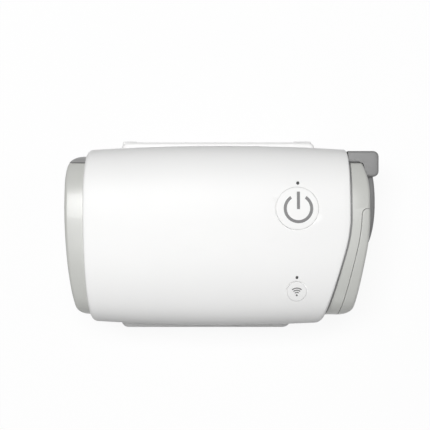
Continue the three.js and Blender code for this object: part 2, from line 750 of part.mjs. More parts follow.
function voluteBase() {
  let base = voluteForm.intersect(below(axisHeight - seam / 2));
  base = joined([base, ...mounts.map(voluteEar)]);
  base = base.subtract(voluteHollow);
  const seatFoot = motorTop - bearingHeight - gap;
  base = base.add(rod(bearingSeat, seatFoot, voluteBottom + voluteWall / 2, blowerX, 0));
  base = base.subtract(rod(bearingHole, seatFoot - gap, voluteBottom, blowerX, 0));
  base = base.subtract(rod(shaftHole, voluteBottom - gap, axisHeight, blowerX, 0));
  mounts.forEach(({ x, y }) => {
    base = base.subtract(rod(earHole, voluteBottom - gap, earTop + gap, x, y));
  });
  return base;
}

function voluteCover() {
  const cover = voluteForm.intersect(above(axisHeight + seam / 2)).subtract(voluteHollow);
  const eyeTop = axisHeight + hornOuter + overrun;
  return cover.subtract(rod(eyeRadius, axisHeight, eyeTop, blowerX, 0, ductCorners));
}

// Curved blades on a round plate, leaning back against the turn
const wheelBottom = axisHeight - hornBore + runningGap;
const wheelTop = axisHeight + hornBore - runningGap;
const plateTop = wheelBottom + wheelPlate;
const hubTop = plateTop + hubRise;
const bladeLeanShare = 0.9;
const bladeSteps = 3;

function impeller() {
  const hub = [
    [shaftHole, wheelBottom], [impellerRadius, wheelBottom], [impellerRadius, plateTop],
    [eyeRadius, plateTop + coneRise], [hubRadius, hubTop], [shaftHole, hubTop],
    [shaftHole, wheelBottom],
  ];
  const rim = (side) => (step) => {
    const share = step / bladeSteps;
    const radius = eyeRadius * (1 - share) + (impellerRadius - gap) * share;
    const turn = -bladeLeanShare * share;
    const half = (side * bladeThickness) / 2;
    const [along, across] = [Math.cos(turn), Math.sin(turn)];
    return [radius * along - half * across, radius * across + half * along];
  };
  const steps = Array.from({ length: bladeSteps + 1 }, (_, step) => step);
  const outline = [...steps.map(rim(-1)), ...steps.reverse().map(rim(1))];
  const blades = Array.from({ length: bladeCount }, (_, blade) => {
    const turn = (2 * Math.PI * blade) / bladeCount;
    const points = outline.map(([x, y]) => [
      blowerX + x * Math.cos(turn) - y * Math.sin(turn), x * Math.sin(turn) + y * Math.cos(turn),
    ]);
    return raised(points, wheelBottom + wheelPlate / 2, wheelTop);
  });
  return joined([turned(hub, "z", blowerX, 0, 0, fineCorners), ...blades]);
}

function motorCup() {
  const cupFloor = motorBottom + motorWall;
  const inside = rod(motorRadius - motorWall, cupFloor, motorTop + overrun, blowerX, 0, fineCorners);
  const seatTop = cupFloor + bearingHeight;
  return rod(motorRadius, motorBottom, motorTop, blowerX, 0, fineCorners)
    .subtract(inside)
    .add(rod(bearingSeat, motorBottom, seatTop, blowerX, 0))
    .subtract(rod(bearingHole, cupFloor, seatTop + overrun, blowerX, 0));
}

const ring = (inner, outer, from, to, corners = roundCorners) =>
  turned(ringProfile(inner, outer, from, to), "z", blowerX, 0, 0, corners);
const lowBearing = motorBottom + motorWall + gap;
const highBearing = motorTop - bearingHeight;
const magnetBottom = lowBearing + bearingHeight + gap;
const magnetTop = highBearing - 2 * gap;

place("volute_base", voluteBase(), finish(0x3b3e42, 0.55));
place("volute_cover", voluteCover(), finish(0x45484d, 0.55));
place("impeller", impeller(), finish(0xd9dad6, 0.4));
place("motor_shaft", rod(shaftRadius, lowBearing, hubTop, blowerX, 0), steel);
place("lower_bearing", ring(shaftHole, bearingRadius, lowBearing, lowBearing + bearingHeight), steel);
place("upper_bearing", ring(shaftHole, bearingRadius, highBearing, highBearing + bearingHeight), steel);
place("rotor_magnet", ring(shaftHole, magnetRadius, magnetBottom, magnetTop), finish(0x55585c, 0.5, 0.6));
const statorOuter = motorRadius - motorWall - gap;
const stator = ring(statorInner, statorOuter, magnetBottom + gap, magnetTop, fineCorners);
place("motor_stator", stator, finish(0xa86a3a, 0.45, 0.7));
place("motor_cup", motorCup(), finish(0x9b9ea3, 0.35, 0.9));

const postTop = voluteBottom - gap - mountFlangeHeight - gap;
mounts.forEach(({ x, y }, index) => {
  const low = voluteBottom - gap - mountFlangeHeight;
  const high = earTop + gap + mountFlangeHeight;
  const profile = [
    [mountPin + gap, low], [mountFlange, low], [mountFlange, voluteBottom - gap],
    [mountNeck, voluteBottom - gap], [mountNeck, earTop + gap], [mountFlange, earTop + gap],
    [mountFlange, high], [mountPin + gap, high], [mountPin + gap, low],
  ];
  place(`blower_mount_${index + 1}`, turned(profile, "z", x, y, 0, smallCorners), rubber);
});

// Muffler chamber: a tall part behind the air inlet and a flat part over the blower, with foam inside
const frameBack = (y) => leftMouth(y) + mouthTuck + gap + frameDepth;
const plenumLeft = Math.max(frameBack(-plenumHalfDepth), frameBack(plenumHalfDepth)) + gap;
const plenumFloor = axisHeight + hornOuter + gap;
const plenumTop = sleeveTop(plenumLeft, plenumHalfDepth, shellWall) - gap;
const plenumBottom = axisHeight - plenumDrop;
const plenumKnee = plenumLeft + plenumDeep;

function sideways(points, halfDepth) {
  const shape = new THREE.Shape(points.map(([x, z]) => new THREE.Vector2(x, z)));
  const geometry = new THREE.ExtrudeGeometry(shape, { depth: 2 * halfDepth, bevelEnabled: false, steps: 1 });
  geometry.rotateX(Math.PI / 2);
  geometry.translate(0, halfDepth, 0);
  return solidOf(geometry);
}

function inletPlenum() {
  const chamber = (inset, past) => sideways([
    [plenumLeft - past, plenumBottom + inset], [plenumKnee - inset, plenumBottom + inset],
    [plenumKnee - inset, plenumFloor + inset], [plenumRight - inset, plenumFloor + inset],
    [plenumRight - inset, plenumTop - inset], [plenumLeft - past, plenumTop - inset],
  ], plenumHalfDepth - inset);
  return chamber(0, 0).subtract(chamber(plenumWall, overrun))
    .subtract(rod(eyeRadius, plenumFloor - gap, plenumFloor + plenumWall + gap, blowerX, 0, ductCorners));
}

function mufflerFoam() {
  const inset = plenumWall + gap;
  const half = plenumHalfDepth - inset;
  const [left, right] = [plenumLeft + gap, plenumKnee - plenumWall - foamClear];
  let foam = box(left, right, -half, half, plenumBottom + inset, plenumTop - inset);
  foamAcrossShares.forEach((acrossShare) => {
    foamUpShares.forEach((upShare) => {
      const z = plenumBottom + upShare * (plenumTop - plenumBottom);
      foam = foam.subtract(rodX(foamHole, left - gap, right + gap, acrossShare * half, z, smallCorners));
    });
  });
  return foam;
}

const sensorX = hornEnd - sleeveLap - 2 * sensorHalf;
const sensorBottom = axisHeight + hornOuter + gap;
const sensorTop = boardBottom - 2 * gap - boardScrewRadius;
const sensor = box(sensorX - sensorHalf, sensorX + sensorHalf, outletY - sensorHalf, outletY + sensorHalf,
  sensorBottom, sensorTop);
place("inlet_plenum", inletPlenum(), finish(0x4d5055, 0.6));
place("muffler_foam", mufflerFoam(), finish(0x2c2d30, 0.95));
place("flow_sensor", sensor, finish(0x24262a, 0.5));

// Stations of a cover's rounded outer edge, for an end seen from above
const roundStations = (end, inset, sign) =>
  rimTurns.map((turn) => {
    const inward = inset + coverEdge * (1 - Math.cos(turn));
    return [(y) => end(y) + sign * (inset + coverEdge * (1 - Math.sin(turn))), inward, inward];
  });

// Left end: frame with the inlet grid, filter, and the cover that pulls off
const leftSize = () => mouthSize(leftReach);
const leftCap = (inset, depth) =>
  form(leftSize, 0, [...roundStations(leftEnd, inset, 1).reverse(), [intoMouth(depth), inset, inset]]);
const filterBack = -filterFront + filterThick;

function filterCover() {
  let cover = leftCap(0, mouthTuck).subtract(leftCap(coverWall, mouthTuck + overrun));
  const behind = box(-farAway, 0, coverBackLine, farAway, 0, farAway);
  cover = cover.subtract(behind);
  for (let slot = 0; slot < slotCount; slot += 1) {
    const y = (slot - (slotCount - 1) / 2) * slotPitch;
    const opening = box(-leftEndReach - overrun, -filterFront - gap, y - slotWidth / 2, y + slotWidth / 2,
      axisHeight - slotHalfHeight, axisHeight + slotHalfHeight);
    cover = cover.subtract(opening);
  }
  [-1, 1].forEach((side) => {
    const near = axisHeight + side * (filterHalfHeight + gap);
    const far = axisHeight + side * 2 * filterHalfHeight;
    const [low, high] = [Math.min(near, far), Math.max(near, far)];
    const shelf = box(-leftEndReach, filterBack, -catchHalf, catchHalf, low, high);
    cover = cover.add(shelf.intersect(leftCap(coverWall / 2, mouthTuck)));
  });
  return cover;
}

function inletFrame() {
  const front = mouthTuck + gap;
  const back = front + frameDepth;
  const rim = form(mouthSize, 0, [[intoMouth(front), 0, 0], [intoMouth(back), 0, 0]]);
  const hollow = form(mouthSize, 0, [
    [intoMouth(front - overrun), frameWall, frameWall], [intoMouth(back - frameWall), frameWall, frameWall],
  ]);
  const band = leftCap(0, back).intersect(box(-farAway, 0, coverBackLine + gap, farAway, 0, farAway));
  let frame = rim.subtract(hollow).add(band);
  const bay = (2 * gridHalfDepth - (gridBars - 1) * gridBar) / gridBars;
  for (let opening = 0; opening < gridBars; opening += 1) {
    const y = opening * (bay + gridBar) - gridHalfDepth;
    frame = frame.subtract(box(-leftReach - overrun, 0, y, y + bay,
      axisHeight - gridHalfHeight, axisHeight + gridHalfHeight));
  }
  return frame;
}

function filterFrame() {
  const outer = box(-filterFront, filterBack, -filterHalfDepth, filterHalfDepth,
    axisHeight - filterHalfHeight, axisHeight + filterHalfHeight);
  return outer.subtract(box(-filterFront - gap, filterBack + gap, filterRim - filterHalfDepth,
    filterHalfDepth - filterRim, axisHeight - filterHalfHeight + filterRim,
    axisHeight + filterHalfHeight - filterRim));
}

// Pleated sheet: a zigzag seen from above, with its folds standing up
function filterMedia() {
  const half = filterHalfDepth - filterRim - gap;
  const depth = filterThick - 2 * gap - pleatSheet;
  const folds = Array.from({ length: pleatCount + 1 }, (_, fold) => [
    gap - filterFront + (fold % 2) * depth, ((2 * fold) / pleatCount - 1) * half,
  ]);
  const shifted = folds.map(([x, y]) => [x + pleatSheet, y]).reverse();
  return raised([...shifted, ...folds], axisHeight - filterHalfHeight + filterRim + gap,
    axisHeight + filterHalfHeight - filterRim - gap);
}

place("filter_cover", filterCover(), lightGrey);
place("inlet_frame", inletFrame(), darkGrey);
place("filter_frame", filterFrame(), finish(0xe2e3df, 0.5));
place("filter_media", filterMedia(), finish(0xf2f2ee, 0.95));

// Right end: frame with the outlet well, the power socket bulge and the corner block, and two light panels
const hoodSize = () => mouthSize(rightReach);
const hood = (inset, depth) =>
  form(hoodSize, 0, [[outOfMouth(depth), inset, inset], ...roundStations(rightEnd, inset, -1)]);
const behindCover = (extra) => box(0, farAway, coverBackLine + extra, farAway, 0, farAway);
const hoodSkin = hood(0, mouthTuck).subtract(hood(coverWall, mouthTuck + overrun)).subtract(behindCover(0));
const wellFloor = nozzleFlangePlace - gap;

// The rounded swelling that carries the power socket
function bulge(extra) {
  const size = () => [(bulgeBack - bulgeFront) / 2 + extra, bulgeHalfHeight + extra];
  const crown = (y) => {
    const past = y - outletY - bulgeCrownPast;
    return bulgeReach + extra - past ** 2 / (2 * (past > 0 ? bulgeBackRadius : bulgeFrontRadius));
  };
  const rounded = rimTurns.map((turn) => [
    (y) => crown(y) - bulgeRound * (1 - Math.sin(turn)),
    bulgeRound * (1 - Math.cos(turn)), bulgeRound * (1 - Math.cos(turn)),
  ]);
  return form(size, (bulgeBack + bulgeFront) / 2, [[() => rightReach, 0, 0], ...rounded]);
}

// Region of the outlet panel: in front of the seam and outboard of a line that follows the end
function bezelRegion(extra) {
  const slant = (y) => slanted(rightEndBendPlace - y, rightEndBendLength, rightEndSlantShare);
  const inner = (y) => rightEndReach - bezelInboard - extra - slant(y) - bezelSplayShare * (bezelBack - y);
  const back = bezelBack + extra;
  const front = -shellHalfWidth;
  const edge = bezelShares.map((share) => {
    const y = front + share * (back - bezelCorner - front);
    return [inner(y), y];
  });
  const far = rightEndReach + overrun;
  const corner = roundCorner(inner(back) + bezelCorner, back - bezelCorner, bezelCorner, 1).reverse();
  const outline = [...edge, ...corner, [far, back], [far, front]].reverse();
  return raised(outline, 0, axisHeight + 2 * shellHalfHeight);
}

const port = (radius, from) => rodX(radius, from, rightEndReach + overrun, outletY, axisHeight, ductCorners);
const socketBox = (inset, from, to) =>
  box(from, to, socketPlace - socketHalfWidth + inset, socketPlace + socketHalfWidth - inset,
    axisHeight - socketHalfHeight + inset, axisHeight + socketHalfHeight - inset);
const socketFloor = bulgeReach - socketDepth;

function outletFrame() {
  const front = mouthTuck + gap;
  const back = front + frameDepth;
  const inside = hood(coverWall + gap, back);
  const rim = form(mouthSize, 0, [[outOfMouth(back), 0, 0], [outOfMouth(front), 0, 0]]);
  const hollow = form(mouthSize, 0, [
    [outOfMouth(back - frameWall), frameWall, frameWall], [outOfMouth(front - overrun), frameWall, frameWall],
  ]);
  const wellBack = wellFloor - frameWall;
  const well = rodX(portRadius + portWall, wellBack, rightEndReach, outletY, axisHeight, ductCorners);
  const housing = (inset, from, to) => box(from, to, bulgeFront + inset, bulgeBack - inset,
    axisHeight - bulgeHalfHeight + inset, axisHeight + bulgeHalfHeight - inset);
  const band = hood(0, back).intersect(behindCover(gap));
  const start = rightReach + gap;
  const pillar = raised([
    [start, pillarFront],
    ...roundCorner(pillarReach - pillarCorner, pillarFront + pillarCorner, pillarCorner, 3),
    ...roundCorner(pillarReach - pillarCorner, pillarBack - pillarCorner, pillarCorner, 0),
    [start, pillarBack],
  ], axisHeight - bulgeHalfHeight, axisHeight + bulgeHalfHeight, pillarRound);
  const cover = hood(-gap, front).subtract(behindCover(gap));
  const core = joined([well, housing(0, rightReach - back, rightReach + overrun)]).intersect(inside);
  let frame = joined([rim.subtract(hollow), core, band, bulge(0), pillar.subtract(cover)]);
  frame = frame.subtract(port(portRadius, wellFloor));
  frame = frame.subtract(rodX(hornOuter + gap, hornEnd, wellFloor + gap, outletY, axisHeight, ductCorners));
  frame = frame.subtract(housing(frameWall, hornEnd, socketFloor - frameWall));
  return frame.subtract(socketBox(0, socketFloor, bulgeReach + overrun));
}

place("outlet_frame", outletFrame(), darkGrey);
const endSkin = hoodSkin.subtract(bulge(gap));
place("end_cover", endSkin.subtract(bezelRegion(seam / 2))
  .subtract(port(portRadius + portWall, rightReach)), lightGrey);
place("outlet_panel", endSkin.intersect(bezelRegion(-seam / 2))
  .subtract(port(portRadius, wellFloor)), lightGrey);

const flangeEnd = nozzleFlangePlace + nozzleFlange;
place("outlet_nozzle", turned([
  [hornBore, nozzleBack], [hornOuter, nozzleBack], [hornOuter, nozzleFlangePlace],
  [portRadius - gap, nozzleFlangePlace], [portRadius - gap, flangeEnd], [nozzleOuter, flangeEnd],
  [nozzleTip, nozzleReach], [nozzleBore, nozzleReach], [hornBore, flangeEnd], [hornBore, nozzleBack],
], "x", 0, outletY, axisHeight, ductCorners), finish(0xdcddda, 0.4));
place("outlet_seal", turned(ringProfile(nozzleOuter + gap, portRadius - gap, flangeEnd + gap,
  flangeEnd + gap + nozzleFlange), "x", 0, outletY, axisHeight, ductCorners), rubber);

const sleeveEnd = nozzleBack + sleeveLap;
const sleeveStart = hornEnd - sleeveLap;
const sleeveCrest = (hornEnd + nozzleBack) / 2;
place("outlet_sleeve", turned([
  [sleeveInner, sleeveStart], [sleeveInner + sleeveWall, sleeveStart], [sleeveInner + sleeveWall, hornEnd],
  [sleeveCrestRadius, sleeveCrest], [sleeveInner + sleeveWall, nozzleBack],
  [sleeveInner + sleeveWall, sleeveEnd], [sleeveInner, sleeveEnd], [sleeveInner, sleeveStart],
], "x", 0, outletY, axisHeight, ductCorners), rubber);

const socketEnd = bulgeReach - coverWall - gap;
const socketInside = socketFloor + gap + socketWall;
const pinHole = pinRadius + gap;
const pinPlaces = [-1, 0, 1].map((step) => socketPlace + step * pinPitch);
function powerSocket() {
  let socket = socketBox(gap, socketFloor + gap, socketEnd)
    .subtract(socketBox(gap + socketWall, socketInside, socketEnd + overrun));
  pinPlaces.forEach((y) => {
    socket = socket.subtract(rodX(pinHole, socketFloor, socketInside + gap, y, axisHeight, smallCorners));
  });
  return socket;
}
place("power_socket", powerSocket(), finish(0x1c1d1f, 0.5));
pinPlaces.forEach((y, index) => {
  const pin = rodX(pinRadius, socketFloor + gap, socketInside + pinLength, y, axisHeight, smallCorners);
  place(`power_pin_${index + 1}`, pin, finish(0xc9a86a, 0.3, 1));
});

function lowerShellWithPosts() {
  let shell = lowerShell();
  mounts.forEach(({ x, y }) => {
    shell = shell.add(rod(postRadius, 0, postTop, x, y).intersect(shellBody));
    const pinTop = earTop + 2 * gap + mountFlangeHeight;
    shell = shell.add(rod(mountPin, postTop - gap, pinTop, x, y, smallCorners));
  });
  return shell;
}

function upperShellWithButtons() {
  let shell = upperShell();
  postPlaces.forEach(([x, y]) => {
    shell = shell.add(rod(boardPostRadius, boardTop + gap, farAway, x, y).intersect(shellBody));
    const bite = rod(boardScrewRadius + gap, boardTop, boardTop + boardScrewBite + gap, x, y, smallCorners);
    shell = shell.subtract(bite);
  });
  buttons.forEach((button) => {
    shell = shell.subtract(buttonHole(button));
  });
  return shell;
}

place("base_plate", basePlate(), white);
place("lower_shell", lowerShellWithPosts(), white);
place("upper_shell", upperShellWithButtons(), white);

export default machine;
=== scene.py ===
# A small travel breathing-air machine on a white table, seen from straight above. Metres.
import math

import bpy
from mathutils import Matrix, Vector


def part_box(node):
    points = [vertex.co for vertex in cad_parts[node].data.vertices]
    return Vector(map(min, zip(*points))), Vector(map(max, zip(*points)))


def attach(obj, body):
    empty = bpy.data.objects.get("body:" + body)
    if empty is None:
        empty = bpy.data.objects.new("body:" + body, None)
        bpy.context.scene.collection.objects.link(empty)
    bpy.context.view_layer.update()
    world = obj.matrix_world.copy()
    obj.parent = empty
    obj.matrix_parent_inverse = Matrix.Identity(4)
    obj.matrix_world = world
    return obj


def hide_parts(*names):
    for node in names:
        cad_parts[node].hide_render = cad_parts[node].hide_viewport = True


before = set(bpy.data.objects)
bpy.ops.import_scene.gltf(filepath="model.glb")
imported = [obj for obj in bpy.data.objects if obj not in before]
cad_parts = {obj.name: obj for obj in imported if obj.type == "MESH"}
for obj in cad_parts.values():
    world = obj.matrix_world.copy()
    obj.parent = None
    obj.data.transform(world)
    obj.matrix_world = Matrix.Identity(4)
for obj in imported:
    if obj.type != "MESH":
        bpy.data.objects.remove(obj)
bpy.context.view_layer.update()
scene = bpy.context.scene
scene.view_settings.view_transform = "Standard"

# Camera
# The picture was taken from straight above, near enough for the sleeve's sides to lean outwards.
# The photograph is square, and its middle lies a little behind and to the left of the machine's.
half_picture_pixels = 215
lens_length_pixels = 974
camera_data = bpy.data.cameras.new("camera")
camera_data.angle = 2 * math.atan(half_picture_pixels / lens_length_pixels)
camera = bpy.data.objects.new("camera", camera_data)
scene.collection.objects.link(camera)
camera.location = (-0.0026, 0.0087, 0.45)
scene.camera = camera

# Table and room
# A white table in a white room. The camera, gloss and glass see both as plain white, with a faint shadow
# left on the table. The light that they throw back on the machine stays soft and dim.
table_shadow_share = 0.1
table_seen_white = 0.92
table_thrown_white = 0.45
table_drop = 0.0002
room_light = 0.07


def shown(nodes, links):
    """1 for the rays that see the room as plain white."""
    ray = nodes.new("ShaderNodeLightPath")
    share = ray.outputs["Is Camera Ray"]
    for kind in ("Is Glossy Ray", "Is Transmission Ray"):
        either = nodes.new("ShaderNodeMath")
        either.operation = "MAXIMUM"
        links.new(share, either.inputs[0])
        links.new(ray.outputs[kind], either.inputs[1])
        share = either.outputs[0]
    return share


def matte(nodes, white):
    shade = nodes.new("ShaderNodeBsdfDiffuse")
    shade.inputs["Color"].default_value = (white, white, white, 1)
    return shade


bpy.ops.object.select_all(action="DESELECT")
bpy.ops.mesh.primitive_plane_add(size=6, location=(0, 0, -table_drop))
table = bpy.context.object
table.name = "table"
white_table = bpy.data.materials.new("white_table")
white_table.use_nodes = True
nodes, links = white_table.node_tree.nodes, white_table.node_tree.links
nodes.clear()
bright = nodes.new("ShaderNodeEmission")
seen = nodes.new("ShaderNodeMixShader")
seen.inputs["Fac"].default_value = table_shadow_share
mixed = nodes.new("ShaderNodeMixShader")
output = nodes.new("ShaderNodeOutputMaterial")
links.new(bright.outputs[0], seen.inputs[1])
links.new(matte(nodes, table_seen_white).outputs[0], seen.inputs[2])
links.new(shown(nodes, links), mixed.inputs["Fac"])
links.new(matte(nodes, table_thrown_white).outputs[0], mixed.inputs[1])
links.new(seen.outputs[0], mixed.inputs[2])
links.new(mixed.outputs[0], output.inputs["Surface"])
table.data.materials.append(white_table)

white_room = bpy.data.worlds.new("white_room")
scene.world = white_room
white_room.use_nodes = True
nodes, links = white_room.node_tree.nodes, white_room.node_tree.links
nodes.clear()
light = nodes.new("ShaderNodeBackground")
light.inputs["Color"].default_value = (1, 1, 1, 1)
light.inputs["Strength"].default_value = room_light
backdrop = nodes.new("ShaderNodeBackground")
backdrop.inputs["Color"].default_value = (1, 1, 1, 1)
mixed = nodes.new("ShaderNodeMixShader")
output = nodes.new("ShaderNodeOutputWorld")
links.new(shown(nodes, links), mixed.inputs["Fac"])
links.new(light.outputs[0], mixed.inputs[1])
links.new(backdrop.outputs[0], mixed.inputs[2])
links.new(mixed.outputs[0], output.inputs["Surface"])


def soft_lamp(name, place, size, lean, power):
    """A rectangular lamp. It looks straight down, turned by its lean about x and y, in degrees."""
    data = bpy.data.lights.new(name, "AREA")
    data.shape = "RECTANGLE"
    data.size, data.size_y = size
    data.energy = power
    lamp = bpy.data.objects.new(name, data)
    lamp.location = place
    lamp.rotation_euler = (math.radians(lean[0]), math.radians(lean[1]), 0)
    scene.collection.objects.link(lamp)


soft_lamp("overhead_lamp", (-0.17, 0.225, 1.1), (0.66, 0.36), (0, 0), 11.5)
soft_lamp("front_lamp", (0, -0.9, 0.6), (0.4, 0.4), (58, 0), 0.9)
soft_lamp("right_lamp", (0.7, 0.15, 0.9), (0.3, 0.3), (0, 40), 0.9)

# Sleeve
# Two white mouldings that meet in a fine line low on the sides: a squarish oval tube, a little slimmer
# at both mouths, with rolled rims. The right mouth slants away at the front. Four screw bosses stand
# inside, with webs to the side walls, and posts that carry the blower and the circuit board.
sleeve_half_width = 0.0384
sleeve_half_height = 0.0246
sleeve_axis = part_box("outlet_sleeve")[0][2] / 2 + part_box("outlet_sleeve")[1][2] / 2
sleeve_wall = 0.0024
side_taper = 0.0019
top_taper = 0.0012
section_power = 3.2
left_reach = 0.0571
left_crown_y = 0.016
left_crown_radius = 0.57
right_reach = 0.0532
right_bend_y = 0.008
right_bend_length = 0.014
right_slant = 0.29
rim_round = 0.0026
rim_crisp_share = 0.3
left_rim_share = 0.9
right_rim_share = 0.6
parting_drop = 0.0112
parting_gap = 0.00016
boss_radius = 0.0032
post_radius = 0.0036
board_post_radius = 0.0022
board_screw_hole = 0.0012
web_half = 0.0008
button_hole = 0.00885
wireless_hole = 0.00408
lamp_holes = {"start_lamp_lens": 0.00068, "wireless_lamp_lens": 0.00061}
hole_chamfer = 0.0004
hole_chamfer_drop = 0.00015
snug = 0.0003


def left_mouth(y):
    return (y - left_crown_y) ** 2 / (2 * left_crown_radius) - left_reach


def slanted(y, reach, bend_y, bend_length, slant):
    """Reach of an end that runs straight at the back, bends, and slants away at the front."""
    past = max(bend_y - y, 0)
    run = past**2 / (2 * bend_length) if past < bend_length else past - bend_length / 2
    return reach - slant * run


def right_mouth(y):
    return slanted(y, right_reach, right_bend_y, right_bend_length, right_slant)


def sleeve_halves(x):
    share = (x / left_reach) ** 2
    return sleeve_half_width - side_taper * share, sleeve_half_height - top_taper * share


def sleeve_top(x, y, inset=0.0):
    """Height of the sleeve's top over a place, with its surface moved inwards by the inset."""
    half_width, half_height = sleeve_halves(x)
    across = min(abs(y) / (half_width - inset), 1)
    return sleeve_axis + (half_height - inset) * (1 - across**section_power) ** (1 / section_power)


def deselect():
    if bpy.context.object and bpy.context.object.mode == "EDIT":
        bpy.ops.object.mode_set(mode="OBJECT")
    bpy.ops.object.select_all(action="DESELECT")


def only(piece):
    deselect()
    bpy.context.view_layer.objects.active = piece
    piece.select_set(True)


def tube(name, rings, sides, spot, hollow=False):
    """A circle drawn out ring by ring, with every point moved to spot(ring, turn). The ends are closed,
    or the last ring is bridged back to the first. Rings pressed flat are welded shut."""
    deselect()
    bpy.ops.mesh.primitive_circle_add(vertices=sides, radius=1, fill_type="NOTHING")
    piece = bpy.context.object
    piece.name = name
    bpy.ops.object.mode_set(mode="EDIT")
    bpy.ops.mesh.select_all(action="SELECT")
    for _ in range(rings - 1):
        bpy.ops.mesh.extrude_region_move(TRANSFORM_OT_translate={"value": (0, 0, 1)})
    bpy.ops.mesh.select_all(action="DESELECT")
    bpy.ops.mesh.select_non_manifold()
    if hollow:
        bpy.ops.mesh.bridge_edge_loops()
    else:
        bpy.ops.mesh.fill_holes(sides=0)
    bpy.ops.object.mode_set(mode="OBJECT")
    for vertex in piece.data.vertices:
        vertex.co = spot(round(vertex.co.z), math.atan2(vertex.co.y, vertex.co.x))
    bpy.ops.object.mode_set(mode="EDIT")
    bpy.ops.mesh.select_all(action="SELECT")
    bpy.ops.mesh.remove_doubles(threshold=1e-6)
    bpy.ops.mesh.dissolve_degenerate(threshold=1e-7)
    bpy.ops.mesh.select_all(action="SELECT")
    bpy.ops.mesh.normals_make_consistent(inside=False)
    bpy.ops.object.mode_set(mode="OBJECT")
    return piece


def squarish(turn):
    """Across and up of a point on a unit oval with flattened sides."""
    across, up = math.cos(turn), math.sin(turn)
    power = 2 / section_power
    return math.copysign(abs(across) ** power, across), math.copysign(abs(up) ** power, up)


def oval_skin(name, stations, halves, middle_y=0.0, sides=128, hollow=False):
    """Squarish ovals along x. A station is: its x for a given y, how far its sides and its top are moved
    inwards, and what share of its height is left. Its ends are closed by rings that shrink to a line."""
    if not hollow:
        first, last = stations[0], stations[-1]
        stations = [(*first[:3], share) for share in (0, 0.5)] + stations
        stations += [(*last[:3], share) for share in (0.5, 0) if last[3] > 0]

    def spot(ring, turn):
        x_at, side_inset, top_inset, height_share = stations[ring]
        across, up = squarish(turn)
        half_width, half_height = halves(x_at(middle_y + halves(0)[0] * across))
        y = middle_y + (half_width - side_inset) * across
        return x_at(y), y, sleeve_axis + (half_height - top_inset) * height_share * up

    return tube(name, len(stations), sides, spot, hollow)


def rim_turns(steps=6):
    return [math.pi / 2 * step / steps for step in range(steps + 1)]


def apply_modifier(piece, kind, **settings):
    only(piece)
    modifier = piece.modifiers.new("step", kind)
    for key, value in settings.items():
        setattr(modifier, key, value)
    bpy.ops.object.modifier_apply(modifier=modifier.name)


def combine(piece, tool, operation="DIFFERENCE"):
    """Cuts the piece with a tool, joins the tool on, or keeps only what lies in it. The tool is used up."""
    apply_modifier(piece, "BOOLEAN", object=tool, operation=operation, solver="EXACT")
    bpy.data.objects.remove(tool)


def keep_below(piece, place, normal):
    """Cuts the piece along a plane, closes it, and keeps what lies behind the plane."""
    only(piece)
    bpy.ops.object.mode_set(mode="EDIT")
    bpy.ops.mesh.select_all(action="SELECT")
    bpy.ops.mesh.bisect(plane_co=place, plane_no=normal, use_fill=True, clear_outer=True)
    bpy.ops.object.mode_set(mode="OBJECT")


def turned(name, profile, centre, axis="z", sides=64):
    """A turned piece. The profile is a list of (radius, place along the axis)."""
    centre = Vector(centre)
    along, first, second = {
        "z": (Vector((0, 0, 1)), Vector((1, 0, 0)), Vector((0, 1, 0))),
        "x": (Vector((1, 0, 0)), Vector((0, 1, 0)), Vector((0, 0, 1))),
    }[axis]

    def spot(ring, turn):
        radius, place = profile[ring]
        return centre + along * place + (first * math.cos(turn) + second * math.sin(turn)) * radius

    hollow = min(radius for radius, _ in profile) > 0
    return tube(name, len(profile), sides, spot, hollow)


def rod(name, radius, low, high, x, y, sides=64):
    """An upright round bar."""
    return turned(name, [(0, low), (radius, low), (radius, high), (0, high)], (x, y, 0), "z", sides)


def block(name, low, high, bevel=0.0, segments=4):
    """A box between two corners, with its edges rounded where a bevel is given."""
    deselect()
    bpy.ops.mesh.primitive_cube_add(size=1)
    box = bpy.context.object
    box.name = name
    size = [b - a for a, b in zip(low, high)]
    middle = [(a + b) / 2 for a, b in zip(low, high)]
    box.data.transform(Matrix.Translation(middle) @ Matrix.Diagonal((*size, 1)))
    if bevel:
        bpy.ops.object.mode_set(mode="EDIT")
        bpy.ops.mesh.select_all(action="SELECT")
        bpy.ops.mesh.bevel(offset=bevel, segments=segments)
        bpy.ops.object.mode_set(mode="OBJECT")
    return box


def smooth(piece, degrees=30):
    only(piece)
    bpy.ops.object.shade_smooth_by_angle(angle=math.radians(degrees))
    deselect()


